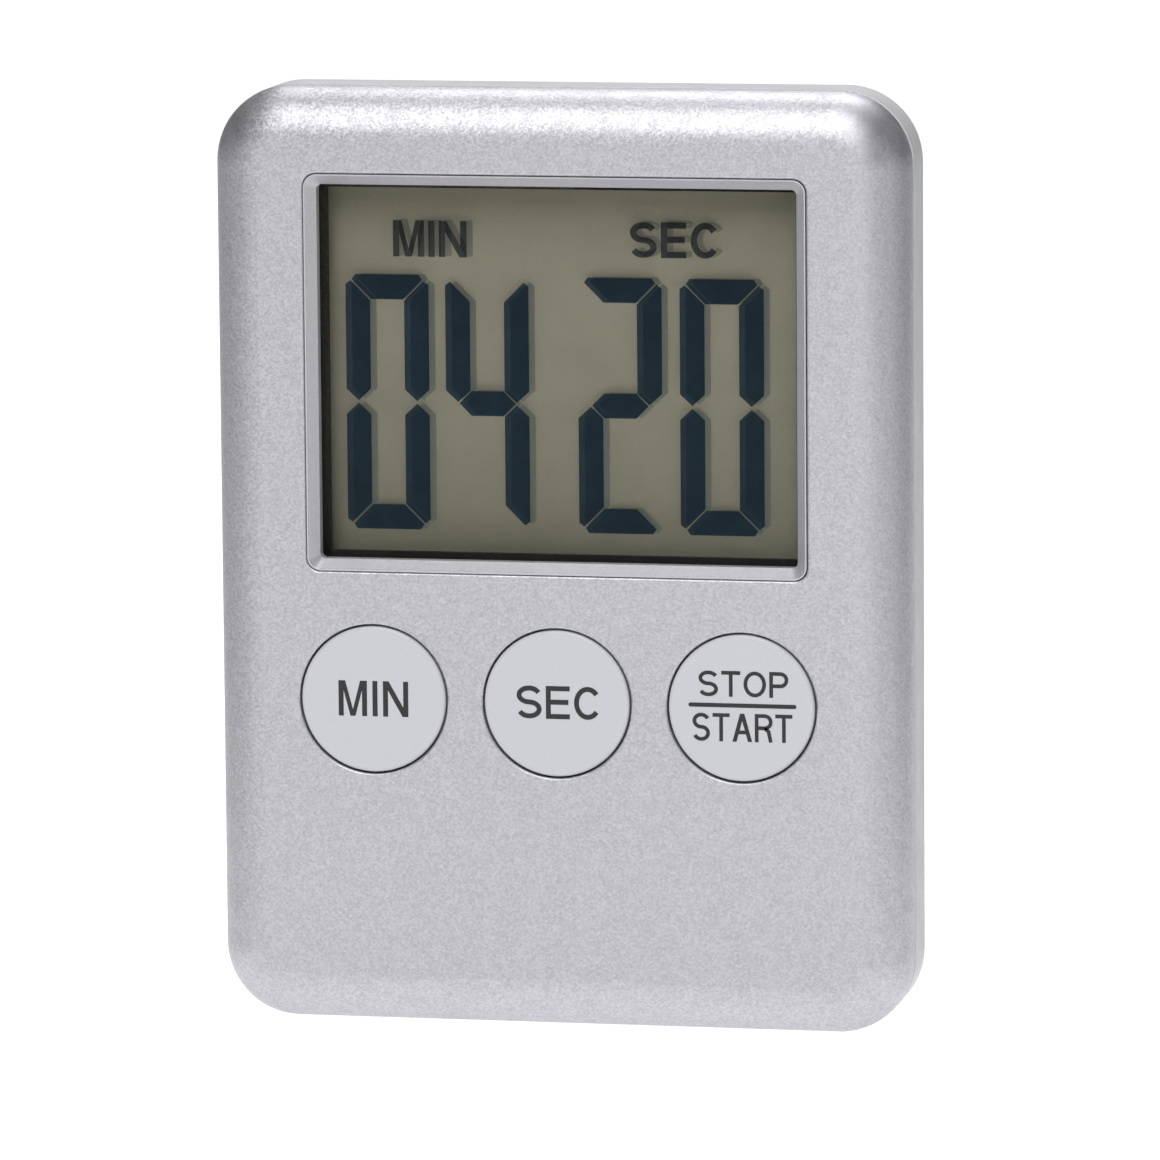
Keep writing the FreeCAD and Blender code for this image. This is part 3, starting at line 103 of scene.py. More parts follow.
def spread(nodes, links, value, low, high):
    """Maps a noise value, which stays near the middle, to the range low to high."""
    mapped = nodes.new("ShaderNodeMapRange")
    mapped.inputs["From Min"].default_value = NOISE_LOW
    mapped.inputs["From Max"].default_value = NOISE_HIGH
    mapped.inputs["To Min"].default_value = low
    mapped.inputs["To Max"].default_value = high
    links.new(value, mapped.inputs["Value"])
    return mapped.outputs["Result"]


def tinted(nodes, links, factor, colour, amount, low=NOISE_LOW, high=NOISE_HIGH):
    """The colour made darker and lighter by up to amount, as factor goes from low to high."""
    ramp = nodes.new("ShaderNodeValToRGB")
    ramp.color_ramp.elements[0].position = low
    ramp.color_ramp.elements[1].position = high
    for element, scale in zip(ramp.color_ramp.elements, (1 - amount, 1 + amount)):
        element.color = tuple(min(channel * scale, 1.0) for channel in colour) + (1.0,)
    links.new(factor, ramp.inputs["Fac"])
    return ramp.outputs["Color"]


def bump(nodes, links, height, distance_mm):
    node = nodes.new("ShaderNodeBump")
    node.inputs["Distance"].default_value = distance_mm * MM
    links.new(height, node.inputs["Height"])
    return node.outputs["Normal"]


def vector_math(nodes, links, operation, first):
    """A vector maths node with its first input linked."""
    node = nodes.new("ShaderNodeVectorMath")
    node.operation = operation
    links.new(first, node.inputs[0])
    return node


def finish(name, colour, roughness, grain_mm, tint=0.06, relief_mm=0.004, metallic=0.0):
    """A solid finish with grain: its colour, roughness and surface all vary a little."""
    material, nodes, links, output, place = new_material(name)
    shader = nodes.new("ShaderNodeBsdfPrincipled")
    shader.inputs["Metallic"].default_value = metallic
    fine = noise(nodes, links, place, grain_mm)
    broad = noise(nodes, links, place, grain_mm * BROAD_GRAIN)
    links.new(tinted(nodes, links, fine, colour, tint), shader.inputs["Base Color"])
    low = roughness * (1 - ROUGHNESS_VARIES)
    high = min(roughness * (1 + ROUGHNESS_VARIES), 1.0)
    links.new(spread(nodes, links, broad, low, high), shader.inputs["Roughness"])
    links.new(bump(nodes, links, fine, relief_mm), shader.inputs["Normal"])
    links.new(shader.outputs["BSDF"], output.inputs["Surface"])
    return material


# ---------------------------------------------------------------- particular finishes

FLAKE_MM = 0.13
FLAKE_TILT = 0.11
FLAKE_TINT = 0.13
FLAKE_MIDDLE = (0.5, 0.5, 0.5)
PAINT_RELIEF_MM = 0.003
PAINT_ROUGHNESS_VARIES = 0.08


def flake_paint(name, colour, roughness, metallic, tint=FLAKE_TINT, tilt=FLAKE_TILT):
    """Silver paint: every flake is a small cell with its own shade and its own slight tilt."""
    material, nodes, links, output, place = new_material(name)
    shader = nodes.new("ShaderNodeBsdfPrincipled")
    shader.inputs["Metallic"].default_value = metallic
    flakes = nodes.new("ShaderNodeTexVoronoi")
    flakes.inputs["Scale"].default_value = 1 / (FLAKE_MM * MM)
    links.new(place, flakes.inputs["Vector"])
    shade = nodes.new("ShaderNodeSeparateColor")
    links.new(flakes.outputs["Color"], shade.inputs["Color"])
    coloured = tinted(nodes, links, shade.outputs["Red"], colour, tint, low=0.0, high=1.0)
    links.new(coloured, shader.inputs["Base Color"])
    broad = noise(nodes, links, place, FLAKE_MM * BROAD_GRAIN)
    low = roughness * (1 - PAINT_ROUGHNESS_VARIES)
    high = roughness * (1 + PAINT_ROUGHNESS_VARIES)
    links.new(spread(nodes, links, broad, low, high), shader.inputs["Roughness"])

    centred = vector_math(nodes, links, "SUBTRACT", flakes.outputs["Color"])
    centred.inputs[1].default_value = FLAKE_MIDDLE
    scaled = vector_math(nodes, links, "SCALE", centred.outputs["Vector"])
    scaled.inputs["Scale"].default_value = tilt
    relief = noise(nodes, links, place, FLAKE_MM)
    tilted = vector_math(nodes, links, "ADD", bump(nodes, links, relief, PAINT_RELIEF_MM))
    links.new(scaled.outputs["Vector"], tilted.inputs[1])
    unit = vector_math(nodes, links, "NORMALIZE", tilted.outputs["Vector"])
    links.new(unit.outputs["Vector"], shader.inputs["Normal"])
    links.new(shader.outputs["BSDF"], output.inputs["Surface"])
    return material


SHEET_IOR = 1.05
SHEET_ROUGHNESS = 0.3
CLEAR_TINT_VARIES = 0.01


def clear_sheet(name, tint, smear_mm):
    """A thin clear sheet: it lets everything through, and mirrors a little at its faces."""
    material, nodes, links, output, place = new_material(name)
    through = nodes.new("ShaderNodeBsdfTransparent")
    smear = noise(nodes, links, place, smear_mm)
    links.new(tinted(nodes, links, smear, tint, CLEAR_TINT_VARIES), through.inputs["Color"])
    gloss = nodes.new("ShaderNodeBsdfGlossy")
    gloss.inputs["Roughness"].default_value = SHEET_ROUGHNESS
    fresnel = nodes.new("ShaderNodeFresnel")
    fresnel.inputs["IOR"].default_value = SHEET_IOR
    mix = nodes.new("ShaderNodeMixShader")
    links.new(fresnel.outputs["Fac"], mix.inputs["Fac"])
    links.new(through.outputs["BSDF"], mix.inputs[1])
    links.new(gloss.outputs["BSDF"], mix.inputs[2])
    links.new(mix.outputs["Shader"], output.inputs["Surface"])
    return material


DYE_CLOUD_MM = 1.5
DYE_VARIES = 0.04


def dye(name, colour):
    """A clear filter: what is behind it shows through in its own colour."""
    material, nodes, links, output, place = new_material(name)
    through = nodes.new("ShaderNodeBsdfTransparent")
    cloud = noise(nodes, links, place, DYE_CLOUD_MM)
    links.new(tinted(nodes, links, cloud, colour, DYE_VARIES), through.inputs["Color"])
    links.new(through.outputs["BSDF"], output.inputs["Surface"])
    return material


FILM_ROUGHNESS = 0.7
FILM_GRAIN_MM = 0.25
FILM_RELIEF_MM = 0.002
FILM_SPECKLE = (0.97, 0.97, 0.97)
FILM_SPECKLE_VARIES = 0.03


def reflector_film_painted_light_and_shade(name, painted_light_top_colour, painted_shade_low_colour, top_z, low_z):
    """The mat grey-green film behind the cell, with painted light and shade: lighter at its top, darker
    towards its lower end.
    """
    material, nodes, links, output, place = new_material(name)
    shader = nodes.new("ShaderNodeBsdfPrincipled")
    shader.inputs["Roughness"].default_value = FILM_ROUGHNESS
    axes = nodes.new("ShaderNodeSeparateXYZ")
    links.new(place, axes.inputs["Vector"])
    height = nodes.new("ShaderNodeMapRange")
    height.inputs["From Min"].default_value = low_z
    height.inputs["From Max"].default_value = top_z
    links.new(axes.outputs["Z"], height.inputs["Value"])
    # Painted light and shade: the colour goes from the lighter top colour down to the darker low colour,
    # a gradient of light painted into the film.
    shade = nodes.new("ShaderNodeMix")
    shade.data_type = "RGBA"
    shade.inputs["A"].default_value = painted_shade_low_colour + (1.0,)
    shade.inputs["B"].default_value = painted_light_top_colour + (1.0,)
    links.new(height.outputs["Result"], shade.inputs["Factor"])
    grain = noise(nodes, links, place, FILM_GRAIN_MM)
    speckle = nodes.new("ShaderNodeMix")
    speckle.data_type = "RGBA"
    speckle.blend_type = "MULTIPLY"
    speckle.inputs["Factor"].default_value = 1.0
    links.new(shade.outputs["Result"], speckle.inputs["A"])
    specks = tinted(nodes, links, grain, FILM_SPECKLE, FILM_SPECKLE_VARIES)
    links.new(specks, speckle.inputs["B"])
    links.new(speckle.outputs["Result"], shader.inputs["Base Color"])
    links.new(bump(nodes, links, grain, FILM_RELIEF_MM), shader.inputs["Normal"])
    links.new(shader.outputs["BSDF"], output.inputs["Surface"])
    return material


# ---------------------------------------------------------------- one finish for each slot

FINISHES = {
    "black_foam": dict(colour=(0.004, 0.004, 0.004), roughness=0.95, grain_mm=0.25, relief_mm=0.03),
    "black_plastic": dict(colour=(0.025, 0.025, 0.026), roughness=0.5, grain_mm=0.2),
    "conductive_rubber": dict(colour=(0.03, 0.03, 0.03), roughness=0.8, grain_mm=0.12, tint=0.3),
    "board_laminate": dict(colour=(0.03, 0.16, 0.07), roughness=0.35, grain_mm=0.4, tint=0.12),
    "steel": dict(colour=(0.55, 0.55, 0.56), roughness=0.3, grain_mm=0.15, metallic=1.0),
    "carbon_ink": dict(colour=(0.03, 0.03, 0.03), roughness=0.85, grain_mm=0.1, tint=0.25),
    "black_epoxy": dict(colour=(0.015, 0.015, 0.016), roughness=0.3, grain_mm=0.5),
    "plated_can": dict(colour=(0.62, 0.61, 0.58), roughness=0.28, grain_mm=0.2, metallic=1.0),
    "chip_ceramic": dict(colour=(0.55, 0.45, 0.33), roughness=0.6, grain_mm=0.1, tint=0.15),
    "silicone": dict(colour=(0.50, 0.51, 0.53), roughness=0.6, grain_mm=0.3),
    "cell_seal_plastic": dict(colour=(0.72, 0.72, 0.69), roughness=0.5, grain_mm=0.2),
    "cell_paste": dict(colour=(0.09, 0.09, 0.10), roughness=0.9, grain_mm=0.15, tint=0.3),
    "brass_sheet": dict(colour=(0.62, 0.46, 0.17), roughness=0.3, grain_mm=0.3, metallic=1.0),
    "grey_plastic": dict(colour=(0.58, 0.585, 0.605), roughness=0.5, grain_mm=0.16, tint=0.05),
    "key_plastic": dict(colour=(0.50, 0.505, 0.535), roughness=0.45, grain_mm=0.15, tint=0.03,
                        relief_mm=0.002),
    "ferrite": dict(colour=(0.045, 0.045, 0.05), roughness=0.7, grain_mm=0.12, tint=0.25),
}

# The film's top colour is painted light and its low colour is painted shade.
FILM_TOP_PAINTED_LIGHT_COLOUR = (0.240, 0.224, 0.172)
FILM_LOW_PAINTED_SHADE_COLOUR = (0.155, 0.149, 0.112)
PAINT_COLOUR = (0.50, 0.497, 0.53)
PAINT_ROUGHNESS = 0.50
PAINT_METALLIC = 0.82
TRIM_COLOUR = (0.50, 0.50, 0.53)
TRIM_ROUGHNESS = 0.36
TRIM_METALLIC = 0.5
TRIM_TINT = 0.05
TRIM_TILT = 0.03
LENS_TINT = (0.985, 0.985, 0.975)
LENS_SMEAR_MM = 3.0
GLASS_TINT = (0.98, 0.985, 0.975)
GLASS_SMEAR_MM = 4.0


def build_materials():
    made = {slot: finish(slot + "_finish", **values) for slot, values in FINISHES.items()}
    made["silver_paint"] = flake_paint(
        "silver_paint_finish", PAINT_COLOUR, PAINT_ROUGHNESS, PAINT_METALLIC
    )
    made["silver_trim"] = flake_paint(
        "silver_trim_finish", TRIM_COLOUR, TRIM_ROUGHNESS, TRIM_METALLIC, TRIM_TINT, TRIM_TILT
    )
    film_low, film_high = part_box("lcd_rear_reflector")
    made["polariser_film"] = reflector_film_painted_light_and_shade(
        "polariser_film_painted_light_and_shade", FILM_TOP_PAINTED_LIGHT_COLOUR, FILM_LOW_PAINTED_SHADE_COLOUR, film_high.z, film_low.z
    )
    made["clear_lens"] = clear_sheet("clear_lens_finish", LENS_TINT, LENS_SMEAR_MM)
    made["lcd_glass"] = clear_sheet("lcd_glass_finish", GLASS_TINT, GLASS_SMEAR_MM)
    return made


materials = build_materials()


def paint_nodes():
    """Gives every CAD node the finish of its slot in the record."""
    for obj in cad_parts.values():
        for holder in obj.material_slots:
            holder.material = materials[holder.material.name]


paint_nodes()


# ---------------------------------------------------------------- flat pieces


def flat_piece(name, outlines, front_y, back_y, body, material):
    """Closed thin prisms with the given outlines, each a list of (x, z) corners."""
    vertices, faces = [], []
    for outline in outlines:
        start, count = len(vertices), len(outline)
        vertices += [(x, front_y, z) for x, z in outline]
        vertices += [(x, back_y, z) for x, z in outline]
        faces.append([start + i for i in range(count)])
        faces.append([start + count + i for i in reversed(range(count))])
        for i in range(count):
            j = (i + 1) % count
            faces.append([start + i, start + count + i, start + count + j, start + j])
    mesh = bpy.data.meshes.new(name)
    mesh.from_pydata(vertices, [], faces)
    turn_outwards(mesh)
    mesh.materials.append(material)
    obj = bpy.data.objects.new(name, mesh)
    bpy.context.scene.collection.objects.link(obj)
    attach(obj, body)
    return obj


def face_centre(node):
    """The middle of a CAD node as it is seen from the front: (x, z) in metres."""
    low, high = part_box(node)
    return (low.x + high.x) / 2, (low.z + high.z) / 2


def moved(outlines, centre):
    """The outlines, drawn about (0, 0), moved to that centre."""
    return [[(x + centre[0], z + centre[1]) for x, z in outline] for outline in outlines]


def turn_outwards(mesh):
    """Makes every face point outwards, whichever way its outline ran."""
    work = bmesh.new()
    work.from_mesh(mesh)
    bmesh.ops.recalc_face_normals(work, faces=work.faces)
    work.to_mesh(mesh)
    work.free()


MITRE_LIMIT = 0.5


def stroke(points, width, closed=False):
    """A line of that width with mitred corners: one outline if open, one for each side if closed."""
    count = len(points)
    left, right = [], []
    for i, point in enumerate(points):
        before = points[i - 1] if closed or i > 0 else None
        after = points[(i + 1) % count] if closed or i < count - 1 else None
        here = Vector(point)
        first = (here - Vector(before)).normalized() if before else None
        second = (Vector(after) - here).normalized() if after else None
        along = ((first or second) + (second or first)).normalized()
        across = Vector((-along.y, along.x))
        reach = width / 2 / max(abs(along.dot(first or second)), MITRE_LIMIT)
        left.append(here + across * reach)
        right.append(here - across * reach)
    if closed:
        sides = [(i, (i + 1) % count) for i in range(count)]
        return [[tuple(left[i]), tuple(left[j]), tuple(right[j]), tuple(right[i])] for i, j in sides]
    return [[tuple(p) for p in left] + [tuple(p) for p in reversed(right)]]


def arc(centre, radii, start, end, steps):
    """Points along an ellipse, from the start angle to the end angle, in degrees."""
    points = []
    for i in range(steps + 1):
        angle = math.radians(start + (end - start) * i / steps)
        x = centre[0] + radii[0] * math.cos(angle)
        points.append((x, centre[1] + radii[1] * math.sin(angle)))
    return points


# ---------------------------------------------------------------- plain letterforms
# Each letter takes its width w, height h and stroke t, and returns outlines with its corner at
# (0, 0).  Slants, notches and arms are shares of the stroke or the height.
# The ends of C and S are angles in degrees, and the steps are how many sides a curve has.

C_MOUTH = 38
S_TOP_END = 22
S_LOW_END = -158
ROUND_STEPS = 36
C_STEPS = 28
BOWL_STEPS = 16
P_STEPS = 12


def letter_i(w, h, t):
    return [[(0, 0), (0, h), (w, h), (w, 0)]]


def letter_n(w, h, t):
    slant = 1.15 * t
    drop = h * t / (w - slant)
    return [[(0, 0), (0, h), (slant, h), (w - t, drop), (w - t, h), (w, h),
             (w, 0), (w - slant, 0), (t, h - drop), (t, 0)]]


def letter_m(w, h, t):
    slant, notch, foot = 1.35 * t, 1.3 * t, 0.5 * t
    steep = (h - notch) / (w / 2 - slant)
    inner = min(steep * (w / 2 - foot - t), h - t)
    return [[(0, 0), (0, h), (slant, h), (w / 2, notch), (w - slant, h), (w, h), (w, 0),
             (w - t, 0), (w - t, inner), (w / 2 + foot, 0), (w / 2 - foot, 0), (t, inner), (t, 0)]]


def letter_e(w, h, t):
    low, high, arm = h / 2 - 0.42 * t, h / 2 + 0.58 * t, 0.94 * w
    return [[(0, 0), (0, h), (w, h), (w, h - t), (t, h - t), (t, high), (arm, high),
             (arm, low), (t, low), (t, t), (w, t), (w, 0)]]


def letter_t(w, h, t):
    left, right = w / 2 - t / 2, w / 2 + t / 2
    return [[(0, h), (w, h), (w, h - t), (right, h - t), (right, 0), (left, 0),
             (left, h - t), (0, h - t)]]


def letter_a(w, h, t):
    top, leg, bar = 0.58 * t, 1.12 * t, 0.27 * h
    apex = h - 2.0 * t
    legs = [(0, 0), (w / 2 - top, h), (w / 2 + top, h), (w, 0), (w - leg, 0), (w / 2, apex), (leg, 0)]
    low = leg + (w / 2 - leg) * bar / apex
    high = leg + (w / 2 - leg) * (bar + t) / apex
    return [legs, [(low, bar), (high, bar + t), (w - high, bar + t), (w - low, bar)]]


def letter_c(w, h, t):
    return stroke(arc((w / 2, h / 2), ((w - t) / 2, (h - t) / 2), C_MOUTH, 360 - C_MOUTH, C_STEPS), t)


def letter_o(w, h, t):
    ring = arc((w / 2, h / 2), ((w - t) / 2, (h - t) / 2), 0, 360, ROUND_STEPS)[:-1]
    return stroke(ring, t, closed=True)


def letter_s(w, h, t):
    reach, rise = (w - t) / 2, (h - t) / 4
    upper = arc((w / 2, h / 2 + rise), (reach, rise), S_TOP_END, 270, BOWL_STEPS)
    lower = arc((w / 2, h / 2 - rise), (reach, rise), 90, S_LOW_END, BOWL_STEPS)
    return stroke(upper + lower[1:], t)


def bowl(w, h, t, middle):
    """The closed loop of P and R, from the stem round and back at the given height."""
    top, radius = h - t / 2, (h - t / 2 - middle) / 2
    curve = arc((w - t / 2 - radius, middle + radius), (radius, radius), 90, -90, P_STEPS)
    return stroke([(t, top)] + curve + [(t, middle)], t)


def letter_p(w, h, t):
    return letter_i(t, h, t) + bowl(w, h, t, 0.45 * h)


def letter_r(w, h, t):
    middle = 0.5 * h
    knee = w - 1.1 * t
    leg = stroke([(w * 0.55, middle), (knee, middle - 0.9 * t), (w - 0.5 * t, 0)], t)
    return letter_i(t, h, t) + bowl(w, h, t, middle) + leg


# Each letter's outline, and its width as a share.  I is as wide as its stroke.
LETTERS = {
    "A": (letter_a, 1.02), "C": (letter_c, 0.98), "E": (letter_e, 0.86), "I": (letter_i, None),
    "M": (letter_m, 1.06), "N": (letter_n, 0.94), "O": (letter_o, 1.04), "P": (letter_p, 0.88),
    "R": (letter_r, 0.92), "S": (letter_s, 0.90), "T": (letter_t, 0.88),
}


def word(text, box, stroke_width, gap):
    """Outlines of a word that fills the box, which is its left, right, low and high."""
    left, right, low, high = box
    shares = [LETTERS[letter][1] for letter in text]
    fixed = sum(stroke_width for share in shares if share is None) + gap * (len(text) - 1)
    unit = (right - left - fixed) / sum(share for share in shares if share)
    outlines, x = [], left
    for letter, share in zip(text, shares):
        width = share * unit if share else stroke_width
        for outline in LETTERS[letter][0](width, high - low, stroke_width):
            outlines.append([((x + px) * MM, (low + pz) * MM) for px, pz in outline])
        x += width + gap
    return outlines


# ---------------------------------------------------------------- lettering on the keys
# Boxes are left, right, low and high, in mm from the middle of the key.  Other sizes are in mm too.

KEYS = ("min", "sec", "start_stop")
INK_PROUD = 0.012
INK_SUNK = 0.03
INK_FINISH = dict(
    colour=(0.012, 0.012, 0.014), roughness=0.5, grain_mm=0.12, tint=0.2, relief_mm=0.001
)

MIN_WORD = dict(text="MIN", box=(-2.63, 2.67, -1.28, 1.37), stroke_width=0.38, gap=0.42)
SEC_WORD = dict(text="SEC", box=(-3.00, 3.39, -1.14, 1.32), stroke_width=0.37, gap=0.32)
STOP_WORD = dict(text="STOP", box=(-3.18, 3.54, 0.85, 2.77), stroke_width=0.28, gap=0.24)
START_WORD = dict(text="START", box=(-3.65, 3.83, -2.49, -0.39), stroke_width=0.28, gap=0.20)
BAR_BOX = (-3.95, 4.14, 0.05, 0.36)
BAR_STEPS = 8


def print_key(key, outlines, ink):
    """Raised ink on one key, a hair proud of its cap.  Outlines are drawn about the key's middle."""
    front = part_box("button_" + key)[0].y
    flat_piece(
        "print_" + key, moved(outlines, face_centre("button_" + key)),
        front - INK_PROUD * MM, front + INK_SUNK * MM,
        "key_" + key, ink,
    )


def bar_outline(left, right, low, high):
    """The rule between two words, with round ends."""
    radius = (high - low) / 2
    middle = (low + high) / 2
    ends = arc((right - radius, middle), (radius, radius), -90, 90, BAR_STEPS)
    ends += arc((left + radius, middle), (radius, radius), 90, 270, BAR_STEPS)
    return [[(x * MM, z * MM) for x, z in ends]]


def print_keys():
    """The words on the three keys, all in one ink."""
    ink = finish("key_ink", **INK_FINISH)
    prints = {
        "min": word(**MIN_WORD),
        "sec": word(**SEC_WORD),
        "start_stop": word(**STOP_WORD) + bar_outline(*BAR_BOX) + word(**START_WORD),
    }
    for key in KEYS:
        print_key(key, prints[key], ink)


print_keys()


# ---------------------------------------------------------------- rubber domes under the keys


def soft_dome(key):
    """A copy of the dome with a mesh of its own, attached to the case in place of its CAD node."""
    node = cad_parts["dome_" + key]
    dome = bpy.data.objects.new("soft_dome_" + key, node.data.copy())
    bpy.context.scene.collection.objects.link(dome)
    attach(dome, "case")
    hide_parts("dome_" + key)
    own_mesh(dome)


for key in KEYS:
    soft_dome(key)


# ---------------------------------------------------------------- liquid crystal display
# Sizes and places are in mm from the middle of the front glass.

DIGIT_WIDTH = 6.3
SEGMENT = 1.85
SEGMENT_GAP = 0.10
CORNER_CUT = 0.75
POINT_RISE = 0.85
DIGIT_LOW = -12.12
DIGIT_HIGH = 6.93
DIGITS = (("0", -16.62), ("4", -9.05), ("2", 0.98), ("0", 8.64))
LIT = {"0": "abcdef", "2": "abged", "4": "fgbc"}
CAPTIONS = (
    dict(text="MIN", box=(-12.96, -7.40, 8.29, 10.99), stroke_width=0.46, gap=0.34),
    dict(text="SEC", box=(4.95, 11.66, 8.45, 11.10), stroke_width=0.46, gap=0.34),
)
# Painted shadow: the segments and captions are copied onto the film, shifted sideways and darker, in
# place of the shadow they would cast.
PAINTED_SHADOW_SHIFT = 0.33
LAYER = 0.06
SEGMENT_DYE = (0.42, 0.54, 0.70)
CAPTION_DYE = (0.58, 0.62, 0.68)
SEGMENT_PAINTED_SHADOW_COLOUR = (0.100, 0.112, 0.096)
CAPTION_PAINTED_SHADOW_COLOUR = (0.125, 0.122, 0.098)
PAINTED_SHADOW_FINISH = dict(roughness=0.6, grain_mm=0.3, tint=0.03, relief_mm=0.0003)


def mirrored(outline, flip_x, flip_z, height):
    """A segment's outline turned over, within a digit of that height."""
    return [(DIGIT_WIDTH - x if flip_x else x, height - z if flip_z else z) for x, z in outline]


def segment_outline(letter, height):
    """One segment of a seven-segment digit, drawn once and mirrored to its other places."""
    w, s, g, k = DIGIT_WIDTH, SEGMENT, SEGMENT_GAP, CORNER_CUT
    middle = height / 2
    top = [
        (k, height), (w - k, height), (w - k / 2 - g, height - k / 2),
        (w - s - g, height - s), (s + g, height - s), (k / 2 + g, height - k / 2),
    ]
    side = [
        (0, height - k), (k / 2, height - k / 2 - g), (s, height - s - g),
        (s, middle + POINT_RISE + g), (s / 2, middle + g), (0, middle + POINT_RISE + g),
    ]
    half = s / 2
    bar = [
        (half + g, middle), (s + g, middle + half), (w - s - g, middle + half),
        (w - half - g, middle), (w - s - g, middle - half), (s + g, middle - half),
    ]
    shapes = {
        "a": (top, False, False), "d": (top, False, True),
        "f": (side, False, False), "e": (side, False, True),
        "b": (side, True, False), "c": (side, True, True), "g": (bar, False, False),
    }
    outline, flip_x, flip_z = shapes[letter]
    return mirrored(outline, flip_x, flip_z, height)


def digit_outlines():
    """All the lit segments."""
    outlines = []
    for digit, left in DIGITS:
        for letter in LIT[digit]:
            corners = segment_outline(letter, DIGIT_HIGH - DIGIT_LOW)
            outlines.append([((left + x) * MM, (DIGIT_LOW + z) * MM) for x, z in corners])
    return outlines


def caption_outlines():
    """The two captions over the digits."""
    return [outline for caption in CAPTIONS for outline in word(**caption)]


def lit_pieces(name, outlines, dye_colour, painted_shadow_colour):
    """A filter in the crystal layer, and its painted shadow on the film behind: a darker copy, shifted
    sideways, where its shadow would fall.
    """
    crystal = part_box("lcd_front_glass")[1].y
    film_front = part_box("lcd_rear_reflector")[0].y
    x, z = face_centre("lcd_front_glass")
    lit = flat_piece(
        "lcd_" + name, moved(outlines, (x, z)), crystal, crystal + LAYER * MM,
        "case", dye("lcd_" + name + "_dye", dye_colour),
    )
    # Painted shadow on the film: the same outlines shifted sideways, in a darker colour; the finish
    # named ink here is this painted shadow's colour.
    painted_shadow = flat_piece(
        "lcd_" + name + "_painted_shadow", moved(outlines, (x + PAINTED_SHADOW_SHIFT * MM, z)),
        film_front - LAYER * MM, film_front + LAYER * MM,
        "case", finish("lcd_" + name + "_ink", painted_shadow_colour, **PAINTED_SHADOW_FINISH),
    )
    return [lit, painted_shadow]


def clear_cell():
    """One clear piece for the front polariser and both glasses, in front of the lit segments."""
    low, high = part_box("lcd_rear_glass")
    outline = [(low.x, low.z), (low.x, high.z), (high.x, high.z), (high.x, low.z)]
    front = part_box("lcd_front_polariser")[0].y
    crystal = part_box("lcd_front_glass")[1].y
    cell = flat_piece(
        "lcd_cell", [outline], front, crystal - LAYER * MM,
        "case", materials["lcd_glass"],
    )
    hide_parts("lcd_front_polariser", "lcd_front_glass", "lcd_rear_glass")
    return cell


def build_display():
    """The lit segments and captions with their painted shadows, and the cell.  None throws a shadow."""
    pieces = lit_pieces("segments", digit_outlines(), SEGMENT_DYE, SEGMENT_PAINTED_SHADOW_COLOUR)
    pieces += lit_pieces("captions", caption_outlines(), CAPTION_DYE, CAPTION_PAINTED_SHADOW_COLOUR)
    pieces += [clear_cell(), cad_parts["display_lens"]]
    for piece in pieces:
        piece.visible_shadow = False


build_display()


# ---------------------------------------------------------------- floor, light and camera

CAMERA_YAW = 0.2052
CAMERA_PITCH = 0.1424
CAMERA_ROLL = -0.0079
CAMERA_DISTANCE = 0.661
CAMERA_AIM = (0.0, -0.0046, 0.0)
LENS_MM = 276.145
SENSOR_MM = 36.0
SHIFT_X = 0.0093
SHIFT_Y = -0.0207
CLIP_START = 0.01

FLOOR_SIZE = 6.0
FLOOR_FINISH = dict(
    colour=(0.36, 0.36, 0.365), roughness=0.8, grain_mm=2.0, tint=0.004, relief_mm=0.0
)
GLOW_IN_STRIP = 0.97
GLOW_BESIDE = 0.4
STRIP_HALF_WIDTH = 0.055
STRIP_WIDENS = 0.25
GLOW_FADE = 1.4

WORLD_GLOW = 0.02
SOFTBOXES = {
    "key_light": dict(direction=(0.0, -0.86, 1.0), distance=0.75, width=0.42, height=0.76, power=5.85),
    "right_card": dict(direction=(1.0, -0.25, 0.10), distance=0.60, width=0.16, height=0.26, power=0.16),
    "back_light": dict(direction=(0.0, 0.62, 1.0), distance=0.70, width=0.42, height=0.40, power=2.6),
}


def maths(nodes, links, operation, *inputs):
    """A maths node.  Each input is a number or another node's value."""
    node = nodes.new("ShaderNodeMath")
    node.operation = operation
    for socket, value in zip(node.inputs, inputs):
        if isinstance(value, float):
            socket.default_value = value
        else:
            links.new(value, socket)
    return node.outputs["Value"]


def strip_of_light(material):
    """Makes the floor glow in a strip along the camera's line, and less on both sides of it.

    The strip widens away from the object, in front and behind.
    """
    nodes, links = material.node_tree.nodes, material.node_tree.links
    place = nodes.new("ShaderNodeTexCoord")
    axes = nodes.new("ShaderNodeSeparateXYZ")
    links.new(place.outputs["Object"], axes.inputs["Vector"])
    x, y = axes.outputs["X"], axes.outputs["Y"]
    aside = maths(nodes, links, "MULTIPLY_ADD", y, math.tan(CAMERA_YAW), x)
    away = maths(nodes, links, "ABSOLUTE", y)
    half_width = maths(nodes, links, "MULTIPLY_ADD", away, STRIP_WIDENS, STRIP_HALF_WIDTH)
    share = maths(nodes, links, "DIVIDE", maths(nodes, links, "ABSOLUTE", aside), half_width)
    fade = nodes.new("ShaderNodeMapRange")
    fade.interpolation_type = "SMOOTHSTEP"
    fade.inputs["From Min"].default_value = 1.0
    fade.inputs["From Max"].default_value = 1.0 + GLOW_FADE
    fade.inputs["To Min"].default_value = GLOW_IN_STRIP
    fade.inputs["To Max"].default_value = GLOW_BESIDE
    links.new(share, fade.inputs["Value"])
    links.new(fade.outputs["Result"], nodes["Principled BSDF"].inputs["Emission Strength"])


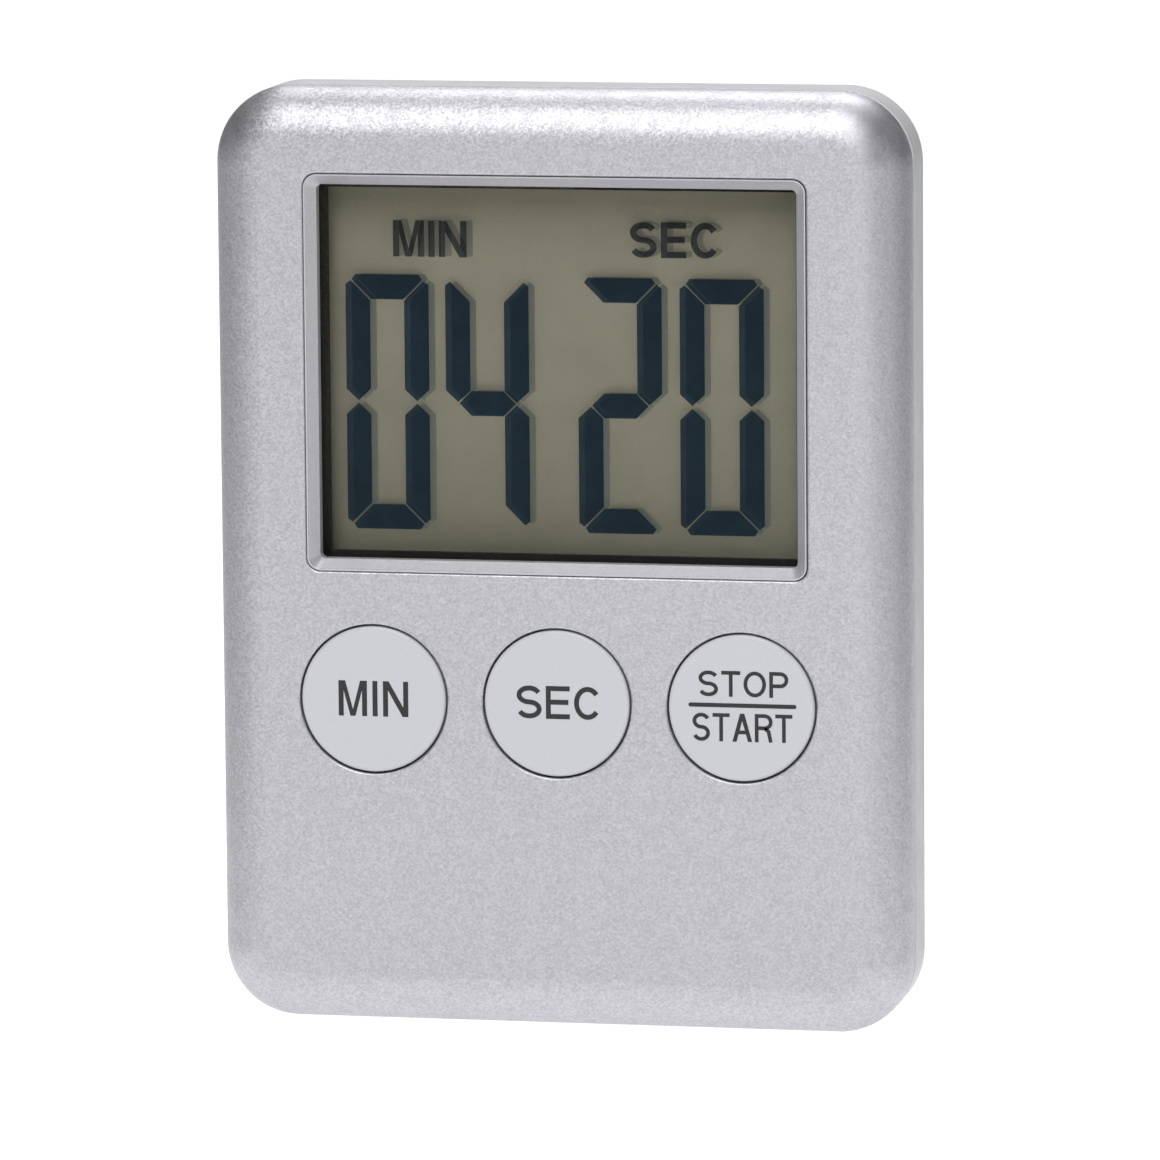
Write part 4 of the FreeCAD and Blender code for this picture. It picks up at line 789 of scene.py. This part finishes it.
def floor_piece():
    half, z = FLOOR_SIZE / 2, cad_low[2]
    corners = [(-half, -half, z), (half, -half, z), (half, half, z), (-half, half, z)]
    mesh = bpy.data.meshes.new("floor")
    mesh.from_pydata(corners, [], [(0, 1, 2, 3)])
    material = finish("floor_finish", **FLOOR_FINISH)
    shader = material.node_tree.nodes["Principled BSDF"]
    shader.inputs["Emission Color"].default_value = grey(1.0)
    strip_of_light(material)
    mesh.materials.append(material)
    obj = bpy.data.objects.new("floor", mesh)
    bpy.context.scene.collection.objects.link(obj)


def softbox(name, direction, distance, width, height, power):
    """An area light that faces the object from the given direction."""
    light = bpy.data.lights.new(name, "AREA")
    light.shape = "RECTANGLE"
    light.size = width
    light.size_y = height
    light.energy = power
    obj = bpy.data.objects.new(name, light)
    bpy.context.scene.collection.objects.link(obj)
    towards = Vector(direction).normalized()
    obj.location = towards * distance
    obj.rotation_euler = (-towards).to_track_quat("-Z", "Y").to_euler()


def build_light():
    world = bpy.data.worlds.new("studio")
    world.use_nodes = True
    background = world.node_tree.nodes["Background"]
    background.inputs["Color"].default_value = grey(1.0)
    background.inputs["Strength"].default_value = WORLD_GLOW
    bpy.context.scene.world = world
    for name, values in SOFTBOXES.items():
        softbox(name, **values)


def build_camera():
    """The camera stands to the right of the front and a little above it."""
    back = Vector((
        math.sin(CAMERA_YAW) * math.cos(CAMERA_PITCH),
        -math.cos(CAMERA_YAW) * math.cos(CAMERA_PITCH),
        math.sin(CAMERA_PITCH),
    ))
    right = Vector((math.cos(CAMERA_YAW), math.sin(CAMERA_YAW), 0))
    up = back.cross(right)
    cos, sin = math.cos(CAMERA_ROLL), math.sin(CAMERA_ROLL)
    axis_x = right * cos + up * sin
    axis_y = up * cos - right * sin
    camera = bpy.data.cameras.new("camera")
    camera.sensor_width = SENSOR_MM
    camera.lens = LENS_MM
    camera.shift_x = SHIFT_X
    camera.shift_y = SHIFT_Y
    camera.clip_start = CLIP_START
    obj = bpy.data.objects.new("camera", camera)
    bpy.context.scene.collection.objects.link(obj)
    turn = Matrix((axis_x, axis_y, back)).transposed().to_4x4()
    obj.matrix_world = Matrix.Translation(Vector(CAMERA_AIM) + back * CAMERA_DISTANCE) @ turn
    bpy.context.scene.camera = obj


floor_piece()
build_light()
build_camera()
bpy.context.scene.view_settings.view_transform = "Standard"
